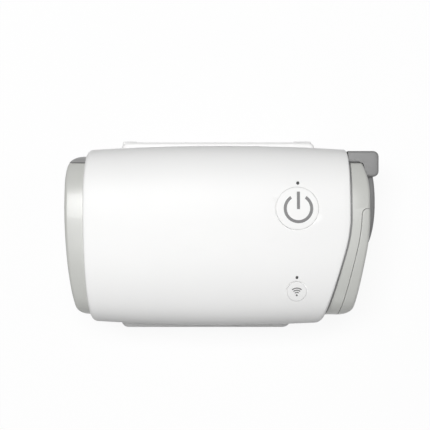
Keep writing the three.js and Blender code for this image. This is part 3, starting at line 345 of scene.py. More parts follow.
def moulded_plastic(name, colour, roughness, grain, grain_size=0.0005, unevenness=0.012, coat=0.0):
    """Moulded plastic with a fine grain, gloss that varies a little and a slightly uneven colour."""
    material = bpy.data.materials.new(name)
    material.use_nodes = True
    nodes, links = material.node_tree.nodes, material.node_tree.links
    shader = nodes["Principled BSDF"]
    shader.inputs["IOR"].default_value = 1.5
    shader.inputs["Coat Weight"].default_value = coat
    place = nodes.new("ShaderNodeTexCoord")
    cloud = nodes.new("ShaderNodeTexNoise")
    cloud.inputs["Scale"].default_value = 45
    fine = nodes.new("ShaderNodeTexNoise")
    fine.inputs["Scale"].default_value = 1 / grain_size
    fine.inputs["Detail"].default_value = 4
    tint = nodes.new("ShaderNodeValToRGB")
    low, high = tint.color_ramp.elements
    low.position, high.position = 0.3, 0.7
    low.color = (*[channel * (1 - unevenness) for channel in colour], 1)
    high.color = (*[min(channel * (1 + unevenness), 1) for channel in colour], 1)
    gloss = nodes.new("ShaderNodeMapRange")
    gloss.inputs["To Min"].default_value = roughness * 0.88
    gloss.inputs["To Max"].default_value = roughness * 1.12
    bump = nodes.new("ShaderNodeBump")
    bump.inputs["Strength"].default_value = grain
    bump.inputs["Distance"].default_value = grain_size / 5
    links.new(place.outputs["Object"], cloud.inputs["Vector"])
    links.new(place.outputs["Object"], fine.inputs["Vector"])
    links.new(cloud.outputs["Fac"], tint.inputs["Fac"])
    links.new(fine.outputs["Fac"], gloss.inputs["Value"])
    links.new(fine.outputs["Fac"], bump.inputs["Height"])
    links.new(tint.outputs["Color"], shader.inputs["Base Color"])
    links.new(gloss.outputs["Result"], shader.inputs["Roughness"])
    links.new(bump.outputs["Normal"], shader.inputs["Normal"])
    return material


def mended(piece):
    """Welds the doubled points and closes the pinholes that the cuts leave."""
    only(piece)
    bpy.ops.object.mode_set(mode="EDIT")
    bpy.ops.mesh.select_all(action="SELECT")
    bpy.ops.mesh.remove_doubles(threshold=1e-6)
    bpy.ops.mesh.dissolve_degenerate(threshold=1e-6)
    bpy.ops.mesh.delete_loose()
    bpy.ops.mesh.select_mode(type="EDGE")
    bpy.ops.mesh.select_all(action="DESELECT")
    left_out = dict.fromkeys(("use_wire", "use_multi_face", "use_non_contiguous", "use_verts"), False)
    bpy.ops.mesh.select_non_manifold(**left_out)
    bpy.ops.mesh.fill_holes(sides=8)
    bpy.ops.object.mode_set(mode="OBJECT")


def finished(piece, material, body, slot, *replaced):
    """Gives a piece its material and its body, and hides the CAD nodes that it stands for. The slot is not
    used.
    """
    mended(piece)
    smooth(piece)
    piece.data.materials.clear()
    piece.data.materials.append(material)
    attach(piece, body)
    if replaced:
        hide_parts(*replaced)


def centre_of(node):
    low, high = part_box(node)
    return [(a + b) / 2 for a, b in zip(low, high)]


def radius_of(node):
    low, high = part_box(node)
    return (high[0] - low[0]) / 2


sleeve_white = moulded_plastic("sleeve_white", (0.84, 0.84, 0.835), 0.5, 0.05, 0.0006, 0.006)
parting_height = sleeve_axis - parting_drop
sleeve_length_shares = [0.03, *[step / 30 for step in range(2, 29)], 0.97]
sleeve_inner_shares = (1, 0.96, 0.66, 0.33, 0.04, 0)


def sleeve_tube(name):
    """The whole sleeve: out along its outer skin, and back along its inner one. The rims are crisp on top
    and roll over more at the sides, at the right end only at the front one."""

    def roll(past):
        return rim_crisp_share + (1 - rim_crisp_share) * min(max(past, 0) / sleeve_half_width, 1) ** 4

    def near_left(distance):
        return lambda y: left_mouth(y) + distance * roll(abs(y))

    def near_right(distance):
        return lambda y: right_mouth(y) - distance * roll(-y)

    def between(share):
        return lambda y: left_mouth(y) + share * (right_mouth(y) - left_mouth(y))

    rim = [(rim_round * (1 - math.cos(turn)), rim_round * (1 - math.sin(turn))) for turn in rim_turns()]
    crisp = rim_crisp_share
    stations = [(near_left(along), inward * left_rim_share, inward * crisp, 1) for along, inward in rim]
    stations += [(between(share), 0, 0, 1) for share in sleeve_length_shares]
    rim.reverse()
    stations += [(near_right(along), inward * right_rim_share, inward * crisp, 1) for along, inward in rim]
    stations += [(between(share), sleeve_wall, sleeve_wall, 1) for share in sleeve_inner_shares]
    return oval_skin(name, stations, sleeve_halves, sides=192, hollow=True)


def inside_sleeve():
    """The room inside the sleeve, grown by half its wall, so that what stands in it ends in the wall."""
    inset = sleeve_wall / 2
    stations = [(left_mouth, inset, inset, 1)]
    stations += [(lambda y: 0, inset, inset, 1), (right_mouth, inset, inset, 1)]
    return oval_skin("inside_sleeve", stations, sleeve_halves)


def screw_boss(screw, low, high):
    x, y, _ = centre_of(screw)
    boss = rod("boss", boss_radius, low, high, x, y, 32)
    side = math.copysign(sleeve_half_width, y)
    web = block("web", (x - web_half, min(y, side), low), (x + web_half, max(y, side), high))
    combine(boss, web, "UNION")
    combine(boss, inside_sleeve(), "INTERSECT")
    return boss


screws = [f"housing_screw_{index}" for index in (1, 2, 3, 4)]
screw_low, screw_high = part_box("housing_screw_1")
screw_hole = 0.0018

sleeve_bottom = sleeve_tube("sleeve_bottom")
keep_below(sleeve_bottom, (0, 0, parting_height - parting_gap / 2), (0, 0, 1))
for screw in screws:
    combine(sleeve_bottom, screw_boss(screw, 0, parting_height - parting_gap / 2), "UNION")
for index in (1, 2, 3, 4):
    x, y, _ = centre_of(f"blower_mount_{index}")
    mount_low, mount_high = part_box(f"blower_mount_{index}")
    post = rod("post", post_radius, 0, mount_low[2] - snug, x, y, 32)
    combine(post, inside_sleeve(), "INTERSECT")
    pin_low, pin_high = mount_low[2] - 2 * snug, mount_high[2] + snug
    combine(post, rod("pin", post_radius / 2 - snug, pin_low, pin_high, x, y, 24), "UNION")
    combine(sleeve_bottom, post, "UNION")
for screw in screws:
    x, y, _ = centre_of(screw)
    combine(sleeve_bottom, rod("hole", screw_hole, 0, parting_height, x, y, 32))
finished(sleeve_bottom, sleeve_white, "housing", "sleeve_white", "lower_shell")

start_x, start_y, _ = centre_of("start_stop_button")
wireless_x, wireless_y, _ = centre_of("wireless_button")
board_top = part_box("main_board")[1][2]
sleeve_crown = sleeve_axis + sleeve_half_height

sleeve_top_half = sleeve_tube("sleeve_top")
keep_below(sleeve_top_half, (0, 0, parting_height + parting_gap / 2), (0, 0, -1))
for screw in screws:
    boss_top = screw_high[2] + boss_radius / 2
    combine(sleeve_top_half, screw_boss(screw, parting_height + parting_gap / 2, boss_top), "UNION")
    x, y, _ = centre_of(screw)
    combine(sleeve_top_half, rod("hole", screw_hole, parting_height, screw_high[2] + snug, x, y, 32))
for index in (1, 2, 3, 4):
    x, y, _ = centre_of(f"board_screw_{index}")
    hole_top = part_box(f"board_screw_{index}")[1][2] + snug
    post = rod("post", board_post_radius, board_top + snug, sleeve_crown, x, y, 24)
    combine(post, inside_sleeve(), "INTERSECT")
    combine(post, rod("hole", board_screw_hole, board_top, hole_top, x, y, 24))
    combine(sleeve_top_half, post, "UNION")
for x, y, radius in ((start_x, start_y, button_hole), (wireless_x, wireless_y, wireless_hole)):
    rim = sleeve_top(x, y)
    profile = [
        (0, sleeve_axis),
        (radius, sleeve_axis),
        (radius, rim - hole_chamfer_drop),
        (radius + hole_chamfer, rim),
        (radius + hole_chamfer, sleeve_crown + snug),
        (0, sleeve_crown + snug),
    ]
    combine(sleeve_top_half, turned("hole", profile, (x, y, 0), sides=96))
for lens, radius in lamp_holes.items():
    x, y, _ = centre_of(lens)
    combine(sleeve_top_half, rod("hole", radius, sleeve_axis, sleeve_crown + snug, x, y, 24))
finished(sleeve_top_half, sleeve_white, "housing", "sleeve_white", "upper_shell")

# Base plate
# A white tray screwed under the sleeve. Its rails look out past the sleeve at the front and the back,
# and the back one ends in two small pads.
base_low, base_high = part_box("base_plate")
base_right_front = 0.0313
base_right_back = 0.0428
pad_proud = 0.0005
base_back = base_high[1] - pad_proud
base_corner = 0.0034
base_edge = 0.0013
pad_lengths = (0.0068, 0.0086)
pad_inset = 0.0012
pad_low = base_low[2] + pad_inset
pad_high = base_high[2] - pad_inset
pad_start_x = 0.0006
screw_head_hole = 0.0031
screw_head_deep = 0.0023
foot_hole = 0.0053
foot_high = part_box("base_foot_1")[1]


def choose(piece, kind, test):
    """Enters edit mode with only those edges or faces selected that pass the test."""
    only(piece)
    bpy.ops.object.mode_set(mode="EDIT")
    bpy.ops.mesh.select_mode(type=kind)
    bpy.ops.mesh.select_all(action="DESELECT")
    bpy.ops.object.mode_set(mode="OBJECT")
    for part in piece.data.edges if kind == "EDGE" else piece.data.polygons:
        part.select = test(part)
    bpy.ops.object.mode_set(mode="EDIT")


def bevel_edges(piece, offset, segments, test):
    """Rounds the edges whose two end points pass the test."""
    points = piece.data.vertices
    choose(piece, "EDGE", lambda edge: test(*[points[index].co for index in edge.vertices]))
    bpy.ops.mesh.bevel(offset=offset, segments=segments)
    bpy.ops.object.mode_set(mode="OBJECT")


base = block("base_plate_white", base_low, (base_right_back, base_back, base_high[2]))
for vertex in base.data.vertices:
    if vertex.co.x > 0 and vertex.co.y < 0:
        vertex.co.x = base_right_front
bevel_edges(base, base_corner, 8, lambda first, second: abs(first.z - second.z) > base_edge)
bevel_edges(base, base_edge, 4, lambda first, second: abs(first.z - second.z) < snug)
pad_back = base_high[1]
pad_front = sleeve_half_width
pad_round = 0.0009
pad_starts = (base_low[0] + pad_start_x, base_right_back - base_corner / 2 - pad_lengths[1])
for pad_start, pad_length in zip(pad_starts, pad_lengths):
    pad_end = pad_start + pad_length
    pad = block("pad", (pad_start, pad_front, pad_low), (pad_end, pad_back, pad_high), pad_round, 3)
    combine(base, pad, "UNION")
base_clear = 0.00012
bed_steps = [step / 4 for step in range(-4, 5)]
bed_stations = [(lambda y, step=step: step * left_reach, -base_clear, -base_clear, 1) for step in bed_steps]
combine(base, oval_skin("bed", bed_stations, sleeve_halves))
for screw in screws:
    x, y, _ = centre_of(screw)
    combine(base, rod("hole", screw_hole, 0, base_high[2], x, y, 32))
    combine(base, rod("hole", screw_head_hole, 0, screw_low[2] + screw_head_deep, x, y, 32))
for index in (1, 2, 3, 4):
    x, y, _ = centre_of(f"base_foot_{index}")
    combine(base, rod("hole", foot_hole, 0, foot_high[2] + snug, x, y, 48))
finished(base, sleeve_white, "housing", "sleeve_white", "base_plate")

# Feet
# Four soft rubber discs glued into round recesses under the base, with a rounded rim.
foot_radius = radius_of("base_foot_1")
foot_round = 0.0005
soft_rubber = moulded_plastic("soft_rubber", (0.018, 0.018, 0.02), 0.75, 0.25, 0.0004, 0.08)


def rolled_low(radius, place, roll, steps=4):
    """Profile points of a rounded lower rim, from its under side up."""
    turns = rim_turns(steps)
    return [(radius - roll * (1 - math.sin(turn)), place + roll * (1 - math.cos(turn))) for turn in turns]


def rolled_high(radius, place, roll, steps=4):
    """Profile points of a rounded upper rim, from its side up."""
    turns = rim_turns(steps)
    return [(radius - roll * (1 - math.cos(turn)), place - roll * (1 - math.sin(turn))) for turn in turns]


for index in (1, 2, 3, 4):
    x, y, _ = centre_of(f"base_foot_{index}")
    profile = [(0, 0), *rolled_low(foot_radius, 0, foot_round)]
    profile += [(foot_radius, foot_high[2]), (0, foot_high[2])]
    foot = turned(f"foot_{index}", profile, (x, y, 0), sides=48)
    finished(foot, soft_rubber, "housing", "soft_rubber", f"base_foot_{index}")

# Housing screws
# Four long steel screws with round heads and a cross recess, sunk into the base from below.
head_radius = 0.0028
head_top = screw_low[2] + 0.002
head_round = 0.0006
cross_half_length = 0.0016
cross_half_width = 0.00035
cross_depth = 0.0009
cross_top = screw_low[2] + cross_depth
shank_radius = 0.0015


def metal(name, colour, roughness, grain, grain_size, unevenness):
    """The moulded look turned to metal: a fine grain with gloss and colour that vary a little."""
    material = moulded_plastic(name, colour, roughness, grain, grain_size, unevenness)
    material.node_tree.nodes["Principled BSDF"].inputs["Metallic"].default_value = 1
    return material


plated_steel = metal("plated_steel", (0.55, 0.56, 0.58), 0.3, 0.06, 0.0003, 0.03)
for screw in screws:
    x, y, _ = centre_of(screw)
    profile = [(0, screw_low[2]), *rolled_low(head_radius, screw_low[2], head_round)]
    profile += [(head_radius, head_top), (shank_radius, head_top)]
    profile += [(shank_radius, screw_high[2] - snug), (0, screw_high[2])]
    piece = turned(f"{screw}_turned", profile, (x, y, 0), sides=32)
    for half_x, half_y in ((cross_half_length, cross_half_width), (cross_half_width, cross_half_length)):
        combine(piece, block("slot", (x - half_x, y - half_y, 0), (x + half_x, y + half_y, cross_top)))
    finished(piece, plated_steel, "housing", "plated_steel", screw)

# Push buttons
# Two white caps that follow the sleeve's top and stand a little proud of it, each with a skirt, a stem
# over its switch and four lugs that keep it in its hole. Grey symbols are printed on them.
button_proud = 0.0002
button_round = 0.00025
button_skin = 0.0018
button_rim = 0.0012
button_play = {"start_stop_button": 0.00005, "wireless_button": 0.00004}
ring_shares = (0.92, 0.8, 0.65, 0.5, 0.35, 0.2, 0.08)
stem_radius = 0.0013
lug_radius = 0.0009
lug_height = 0.0012
symbol_thick = 0.00005
symbol_grey = moulded_plastic("symbol_grey", (0.15, 0.15, 0.152), 0.45, 0.05, 0.0003, 0.03)


def printed(name, spot, steps, body):
    """A thin printed strip on a button's top. spot(along, across) gives its place in plan."""
    deselect()
    bpy.ops.mesh.primitive_grid_add(x_subdivisions=steps, y_subdivisions=2, size=2)
    strip = bpy.context.object
    strip.name = name
    for vertex in strip.data.vertices:
        x, y = spot((vertex.co.x + 1) / 2, vertex.co.y)
        vertex.co = (x, y, sleeve_top(x, y) + button_proud + symbol_thick / 2)
    only(strip)
    bpy.ops.object.mode_set(mode="EDIT")
    bpy.ops.mesh.select_all(action="SELECT")
    bpy.ops.mesh.normals_make_consistent(inside=False)
    bpy.ops.object.mode_set(mode="OBJECT")
    apply_modifier(strip, "SOLIDIFY", thickness=2 * symbol_thick, offset=0)
    finished(strip, symbol_grey, body, "sleeve_white")


def arc(x, y, radius, half_width, start, end):
    """An arc in plan from one angle to another, in degrees counted from the right."""

    def spot(along, across):
        turn = math.radians(start + along * (end - start))
        reach = radius + across * half_width
        return x + reach * math.cos(turn), y + reach * math.sin(turn)

    return spot


def bar(x, half_width, low, high):
    return lambda along, across: (x - across * half_width, low + along * (high - low))


def dot(x, y, radius):
    def spot(along, across):
        turn = math.pi * along
        return x - across * radius * math.sin(turn), y - radius * math.cos(turn)

    return spot


def button_cap(name, node, hole, body, plunger):
    """A cap with a skirt, a stem and lugs, loose in its hole by the button's play."""
    x, y, _ = centre_of(node)
    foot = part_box(node)[0][2]
    radius = hole - button_play[node]
    inner = radius - button_rim
    under = sleeve_top(x + radius, abs(y) + radius) - button_skin
    rim = rolled_high(radius, 0, button_round, 5)
    top = rim + [(rim[-1][0] * share, 0) for share in ring_shares] + [(0, 0)]
    stem_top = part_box(plunger)[1][2] + snug
    below = [(0, stem_top), (stem_radius, stem_top), (stem_radius, under)]
    below += [(inner, under), (inner, foot), (radius, foot)]
    stations = below + top

    def spot(ring, turn):
        reach, place = stations[ring]
        at_x, at_y = x + reach * math.cos(turn), y + reach * math.sin(turn)
        if ring >= len(below):
            return at_x, at_y, sleeve_top(at_x, at_y) + button_proud + place
        return at_x, at_y, place

    cap = tube(name, len(stations), 96, spot)
    for quarter in range(4):
        turn = math.radians(45 + 90 * quarter)
        at_x, at_y = x + radius * math.cos(turn), y + radius * math.sin(turn)
        combine(cap, rod("lug", lug_radius, foot, foot + lug_height, at_x, at_y, 24), "UNION")
    finished(cap, sleeve_white, body, "sleeve_white", node)


start_body, wireless_body = "start_button_body", "wireless_button_body"
button_cap("start_stop_cap", "start_stop_button", button_hole, start_body, "start_switch_plunger")
button_cap("wireless_cap", "wireless_button", wireless_hole, wireless_body, "wireless_switch_plunger")

power_radius = 0.00542
power_stroke = 0.00063
power_gap = 33
power_x = start_x + 0.00045
power_bar_low, power_bar_high = start_y - 0.0003, start_y + 0.0069
power_arc = arc(power_x, start_y, power_radius, power_stroke, 90 + power_gap, 450 - power_gap)
printed("power_ring", power_arc, 96, start_body)
printed("power_bar", bar(power_x, power_stroke, power_bar_low, power_bar_high), 8, start_body)

wave_foot = wireless_y - 0.0015
wave_stroke = 0.00022
wave_radii = (0.0012, 0.0021, 0.003)
wave_start, wave_end = 50, 130
wave_dot = 0.0004
for index, radius in enumerate(wave_radii, start=1):
    wave = arc(wireless_x, wave_foot, radius, wave_stroke, wave_start, wave_end)
    printed(f"wireless_wave_{index}", wave, 24, wireless_body)
printed("wireless_dot", dot(wireless_x, wave_foot, wave_dot), 16, wireless_body)

# Indicator lamps
# A small dark lens over each lamp: a light pipe with a collar under the sleeve's top, ground level with it.
lens_dark = moulded_plastic("lens_dark", (0.008, 0.008, 0.009), 0.55, 0.02, 0.0003, 0.05)
lens_clear = 0.00002
lens_proud = 0.00006
lens_bevel = 0.0001
for node, hole in lamp_holes.items():
    radius = hole - lens_clear
    x, y, _ = centre_of(node)
    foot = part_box(node)[0][2]
    collar = radius_of(node)
    collar_high = sleeve_top(x + collar, abs(y) + collar, sleeve_wall) - snug
    top = sleeve_top(x, y) + lens_proud
    profile = [(0, foot), (radius, foot), (radius, collar_high - radius), (collar, collar_high - radius)]
    profile += [(collar, collar_high), (radius, collar_high), (radius, top - lens_bevel)]
    profile += [(radius - lens_bevel, top), (0, top)]
    finished(turned(f"{node}_turned", profile, (x, y, 0), sides=32), lens_dark, "housing", "lamp_dark", node)

# Filter cover
# A light grey cap, moulded thin, that pulls off the left end. Its outer face bows out, its edge and
# corners are round, nine upright slots let the air in, and two ribs inside hold the filter's frame.
mouth_tuck = 0.003
cover_wall = 0.0018
cover_edge = 0.0014
cover_corner = 0.004
cover_set_in = 0.0027
cover_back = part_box("filter_cover")[1][1]
left_end_reach = -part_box("filter_cover")[0][0]
left_end_front_y = 0.014
left_end_front_radius = 0.245
left_end_back_y = 0.022
left_end_back_radius = 0.041
slot_count = 9
slot_pitch = 0.0048
slot_radius = 0.0011
slot_half_height = 0.009
slot_flare = 0.0003
rib_half_length = 0.008
room = 0.2
filter_low, filter_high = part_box("filter_frame")
light_grey = moulded_plastic("light_grey_plastic", (0.505, 0.51, 0.487), 0.3, 0.03, 0.0005, 0.008, 0.1)


def mouth_halves(reach):
    half_width, half_height = sleeve_halves(reach)
    return half_width - cover_set_in, half_height - cover_set_in


def corner_drop(y):
    """How far a cover's end draws back at its round corners, seen from above."""
    past = abs(y) - (mouth_halves(left_reach)[0] - cover_corner)
    past = min(max(past, 0), cover_corner)
    return cover_corner - math.sqrt(cover_corner**2 - past**2)


def left_end(y):
    front = max(left_end_front_y - y, 0) ** 2 / (2 * left_end_front_radius)
    behind = max(y - left_end_back_y, 0) ** 2 / (2 * left_end_back_radius)
    return front + behind + corner_drop(y) - left_end_reach


def into_left(depth):
    return lambda y: left_mouth(y) + depth


def left_halves(x):
    return mouth_halves(left_reach)


def capped(name, end, sign, inset, mouth, halves, edge_round=cover_edge, groove=()):
    """A solid cap: straight out from the mouth, a rounded edge and an end that bows out.

    The groove is a list of more stations, just past the mouth.
    """

    def at_end(along):
        return lambda y: end(y) + sign * (inset + along)

    stations = [(mouth, inset, inset, 1), *groove]
    for turn in rim_turns(5):
        inward = inset + edge_round * (1 - math.cos(turn))
        stations.append((at_end(edge_round * (1 - math.sin(turn))), inward, inward, 1))
    stations += [(at_end(0), inward, inward, share) for share in (0.8, 0.55, 0.3, 0)]
    return oval_skin(name, stations, halves, sides=192)


def slot_tool(y, half_height, radius, outer, inner):
    """An upright slot with round ends that flares a little at the outer face."""
    places = ((outer - mouth_tuck, slot_flare), (outer, slot_flare), (outer + slot_flare, 0), (inner, 0))

    def spot(ring, turn):
        x, flare = places[ring]
        straight = math.copysign(half_height - radius, math.sin(turn))
        z = sleeve_axis + straight + (radius + flare) * math.sin(turn)
        return x, y + (radius + flare) * math.cos(turn), z

    return tube("slot", len(places), 40, spot)


filter_cover = capped("filter_cover_cap", left_end, 1, 0, into_left(mouth_tuck), left_halves)
hollow = capped("hollow", left_end, 1, cover_wall, into_left(2 * mouth_tuck), left_halves, cover_edge / 2)
combine(filter_cover, hollow)
combine(filter_cover, block("behind", (-room, cover_back, 0), (0, room, room)))
for step in range(slot_count):
    y = (step - (slot_count - 1) / 2) * slot_pitch
    combine(filter_cover, slot_tool(y, slot_half_height, slot_radius, left_end(y), filter_low[0] - snug))
below_filter = (sleeve_axis - sleeve_half_height, filter_low[2] - snug)
for low, high in (below_filter, (filter_high[2] + snug, sleeve_crown)):
    rib = block("rib", (-left_end_reach, -rib_half_length, low), (filter_high[0], rib_half_length, high))
    combine(rib, capped("cap", left_end, 1, cover_wall / 2, into_left(mouth_tuck), left_halves), "INTERSECT")
    combine(filter_cover, rib, "UNION")
finished(filter_cover, light_grey, "filter_door", "light_grey_plastic", "filter_cover")

# Inlet frame
# The grey moulding behind the filter: a rim that sits in the sleeve's left mouth, a wall with four
# windows that the air is drawn through, and a band that shows behind the cover at the back.
frame_depth = 0.0042
frame_wall = 0.002
band_start = cover_back + snug
window_count = 4
window_half_width = 0.015
window_half_height = 0.011
window_bar = 0.0016
window_corner = 0.0015
dark_grey = moulded_plastic("dark_grey_plastic", (0.195, 0.195, 0.195), 0.42, 0.12, 0.0004, 0.012)
inlet_front = mouth_tuck + snug
inlet_back = inlet_front + frame_depth


def window(low, high):
    """A block for cutting a window along x, with round corners."""
    tool = block("window", low, high)
    bevel_edges(tool, window_corner, 5, lambda first, second: abs(first.x - second.x) > snug)
    return tool


inlet_frame = oval_skin(
    "inlet_frame_grey",
    [(into_left(inlet_front), 0, 0, 1), (into_left(inlet_back), 0, 0, 1)],
    mouth_halves,
)
inner_stations = [(into_left(0), frame_wall, frame_wall, 1)]
inner_stations += [(into_left(inlet_back - frame_wall), frame_wall, frame_wall, 1)]
combine(inlet_frame, oval_skin("hollow", inner_stations, mouth_halves))
band = capped("band", left_end, 1, 0, into_left(inlet_back), left_halves)
combine(band, block("behind", (-room, band_start, 0), (0, room, room)), "INTERSECT")
combine(inlet_frame, band, "UNION")
window_width = (2 * window_half_width - (window_count - 1) * window_bar) / window_count
for step in range(window_count):
    y = step * (window_width + window_bar) - window_half_width
    low = (-room, y, sleeve_axis - window_half_height)
    combine(inlet_frame, window(low, (0, y + window_width, sleeve_axis + window_half_height)))
# Painted light: the inlet frame is the same dark grey plastic as the outlet frame, made lighter here so that
# its steep back band shows as brightly lit.
dark_grey_painted_lighter = moulded_plastic("dark_grey_painted_lighter_plastic", (0.29, 0.29, 0.29), 0.42, 0.12, 0.0004, 0.012)
finished(inlet_frame, dark_grey_painted_lighter, "housing", "dark_grey_plastic", "inlet_frame")

# Air filter
# A pale frame with round corners that clips into the cover, and in it a sheet of white fibre folded in
# narrow upright pleats.
filter_corner = 0.0022
filter_rim = 0.0016
filter_edge = 0.00025
pleat_count = 22
pleat_steps = 8
pleat_sharpness = 0.97
pleat_sheet = 0.0004
pale_plastic = moulded_plastic("pale_plastic", (0.72, 0.73, 0.7), 0.4, 0.08, 0.0005, 0.01)

filter_frame = block("filter_frame_pale", filter_low, filter_high)
bevel_edges(filter_frame, filter_corner, 6, lambda first, second: abs(first.x - second.x) > snug)
window_low = (filter_low[0] - snug, filter_low[1] + filter_rim, filter_low[2] + filter_rim)
window_high = (filter_high[0] + snug, filter_high[1] - filter_rim, filter_high[2] - filter_rim)
combine(filter_frame, window(window_low, window_high))
apply_modifier(filter_frame, "BEVEL", width=filter_edge, segments=2, limit_method="ANGLE")
finished(filter_frame, pale_plastic, "filter_door", "pale_plastic", "filter_frame")


def fibre_sheet(name, colour):
    """Pressed fibre: a fine cloud of threads in the colour, the bump and the gloss, without shine."""
    material = moulded_plastic(name, colour, 0.9, 0.5, 0.00035, 0.06)
    material.node_tree.nodes["Principled BSDF"].inputs["Sheen Weight"].default_value = 0.3
    return material


media_low, media_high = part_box("filter_media")
media_half = (media_high[1] - media_low[1]) / 2
media_half_height = (media_high[2] - media_low[2]) / 2
media_middle = centre_of("filter_media")
pleat_reach = (media_high[0] - media_low[0]) / 2 - pleat_sheet
deselect()
bpy.ops.mesh.primitive_grid_add(x_subdivisions=pleat_count * pleat_steps, y_subdivisions=6, size=2)
media = bpy.context.object
media.name = "filter_pleats"
for vertex in media.data.vertices:
    along, up = vertex.co.x, vertex.co.y
    fold = math.asin(pleat_sharpness * math.sin(math.pi * pleat_count * along)) / (math.pi / 2)
    folded = Vector((pleat_reach * fold, media_half * along, media_half_height * up))
    vertex.co = Vector(media_middle) + folded
apply_modifier(media, "SOLIDIFY", thickness=pleat_sheet, offset=0)
filter_fibre = fibre_sheet("filter_fibre", (0.78, 0.78, 0.75))
finished(media, filter_fibre, "filter_door", "filter_fibre", "filter_media")

# Outlet frame
# The dark grey moulding of the right end. Its rim sits in the sleeve's mouth. It holds the round well of
# the air outlet, a swelling with the power socket in it, and a squarish block at the back corner.
right_end_reach = 0.0617
right_end_crown_y = 0.017
right_end_back_radius = 0.04
right_end_bend_y = 0.008
right_end_bend_length = 0.015
right_end_slant = 0.196
port_radius = 0.0118
port_wall = 0.0016
flange_set_in = 0.0125
duct_hole = 0.0084
bulge_proud = 0.00315
bulge_reach = right_end_reach + bulge_proud
bulge_front = -0.006
bulge_back = 0.0293
bulge_crown_y = 0.0135
bulge_front_radius = 0.064
bulge_back_radius = 0.13
bulge_half_height = 0.013
bulge_round = 0.0014
shadow_gap = 0.0005
shadow_depth = 0.004
pillar_front = 0.0248
pillar_low = (right_reach + snug, pillar_front, sleeve_axis - bulge_half_height)
pillar_high = (*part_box("outlet_frame")[1][:2], sleeve_axis + bulge_half_height)
pillar_corner = 0.0024
pillar_round = 0.001
socket_low, socket_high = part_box("power_socket")
socket_clear = 0.0003
nozzle_low, nozzle_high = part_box("outlet_nozzle")
outlet_y = centre_of("outlet_nozzle")[1]
flange_x = nozzle_high[0] - flange_set_in
well_floor = flange_x - snug


def right_end(y):
    behind = max(y - right_end_crown_y, 0) ** 2 / (2 * right_end_back_radius)
    reach = slanted(y, right_end_reach, right_end_bend_y, right_end_bend_length, right_end_slant)
    return reach - behind - corner_drop(y)


def out_of_right(depth):
    return lambda y: right_mouth(y) - depth


def right_halves(x):
    return mouth_halves(right_reach)


def hood(inset, depth, edge_round=cover_edge):
    """The whole right end as a solid, reaching into the sleeve's mouth by a depth."""
    return capped("hood", right_end, -1, inset, out_of_right(depth), right_halves, edge_round)


def rod_x(name, radius, low, high, y, z, sides=64):
    """A round bar along x."""
    return turned(name, [(0, low), (radius, low), (radius, high), (0, high)], (0, y, z), "x", sides)


def bulge(name, grown):
    """The rounded swelling round the power socket."""
    middle = (bulge_back + bulge_front) / 2
    halves = ((bulge_back - bulge_front) / 2 + grown, bulge_half_height + grown)

    def crown(back):
        def x_at(y):
            radius = bulge_back_radius if y > bulge_crown_y else bulge_front_radius
            return bulge_reach + grown - (y - bulge_crown_y) ** 2 / (2 * radius) - back

        return x_at

    stations = [(lambda y: right_reach, 0, 0, 1)]
    for turn in rim_turns(6):
        inward = bulge_round * (1 - math.cos(turn))
        stations.append((crown(bulge_round * (1 - math.sin(turn))), inward, inward, 1))
    stations += [(crown(0), inward, inward, share) for share in (0.75, 0.5, 0.25, 0)]
    return oval_skin(name, stations, lambda x: halves, middle)


def behind_covers(extra):
    return block("behind", (0, cover_back + extra, 0), (room, room, room))


outlet_front = mouth_tuck + snug
outlet_back = outlet_front + frame_depth
outlet_frame = oval_skin(
    "outlet_frame_grey",
    [(out_of_right(outlet_back), 0, 0, 1), (out_of_right(outlet_front), 0, 0, 1)],
    mouth_halves,
)
inner_stations = [(out_of_right(outlet_back - frame_wall), frame_wall, frame_wall, 1)]
inner_stations += [(out_of_right(0), frame_wall, frame_wall, 1)]
combine(outlet_frame, oval_skin("hollow", inner_stations, mouth_halves))
core = rod_x("core", port_radius + port_wall, well_floor - frame_wall, right_end_reach, outlet_y, sleeve_axis)
housing_low = (right_reach - outlet_back, bulge_front, sleeve_axis - bulge_half_height)
housing_high = (right_reach + mouth_tuck, bulge_back, sleeve_axis + bulge_half_height)
combine(core, block("housing", housing_low, housing_high), "UNION")
combine(core, hood(cover_wall + snug, outlet_back, cover_edge / 2), "INTERSECT")
combine(outlet_frame, core, "UNION")
band = hood(0, outlet_back)
combine(band, behind_covers(snug), "INTERSECT")
combine(outlet_frame, band, "UNION")
swelling = bulge("bulge", 0)
gap_tool = hood(-shadow_gap, 0)
gap_floor = sleeve_axis + bulge_half_height - shadow_depth
combine(gap_tool, block("above", (0, -room, gap_floor), (room, room, room)), "INTERSECT")
combine(swelling, gap_tool)
combine(outlet_frame, swelling, "UNION")

pillar = block("pillar", pillar_low, pillar_high)
outboard = pillar_high[0] - snug
bevel_edges(
    pillar,
    pillar_corner,
    8,
    lambda first, second: min(first.x, second.x) > outboard and abs(first.z - second.z) > snug,
)
bevel_edges(
    pillar,
    pillar_round,
    5,
    lambda first, second: abs(first.z - second.z) < snug and max(first.x, second.x) > pillar_low[0] + snug,
)
cover_room = hood(-snug, outlet_front)
combine(cover_room, behind_covers(snug))
combine(pillar, cover_room)
combine(outlet_frame, pillar, "UNION")

far_right = right_end_reach + mouth_tuck * 2
combine(outlet_frame, rod_x("port", port_radius, well_floor, far_right, outlet_y, sleeve_axis, 96))
combine(outlet_frame, rod_x("duct", duct_hole, nozzle_low[0], well_floor + snug, outlet_y, sleeve_axis))
wall_low = (housing_low[0] - snug, housing_low[1] + frame_wall, housing_low[2] + frame_wall)
wall_high = (socket_low[0] - snug - frame_wall, housing_high[1] - frame_wall, housing_high[2] - frame_wall)
combine(outlet_frame, block("inside", wall_low, wall_high))
mouth_low = (socket_low[0] - snug, socket_low[1] - socket_clear, socket_low[2] - socket_clear)
mouth_high = (far_right, socket_high[1] + socket_clear, socket_high[2] + socket_clear)
combine(outlet_frame, window(mouth_low, mouth_high))
finished(outlet_frame, dark_grey, "housing", "dark_grey_plastic", "outlet_frame")

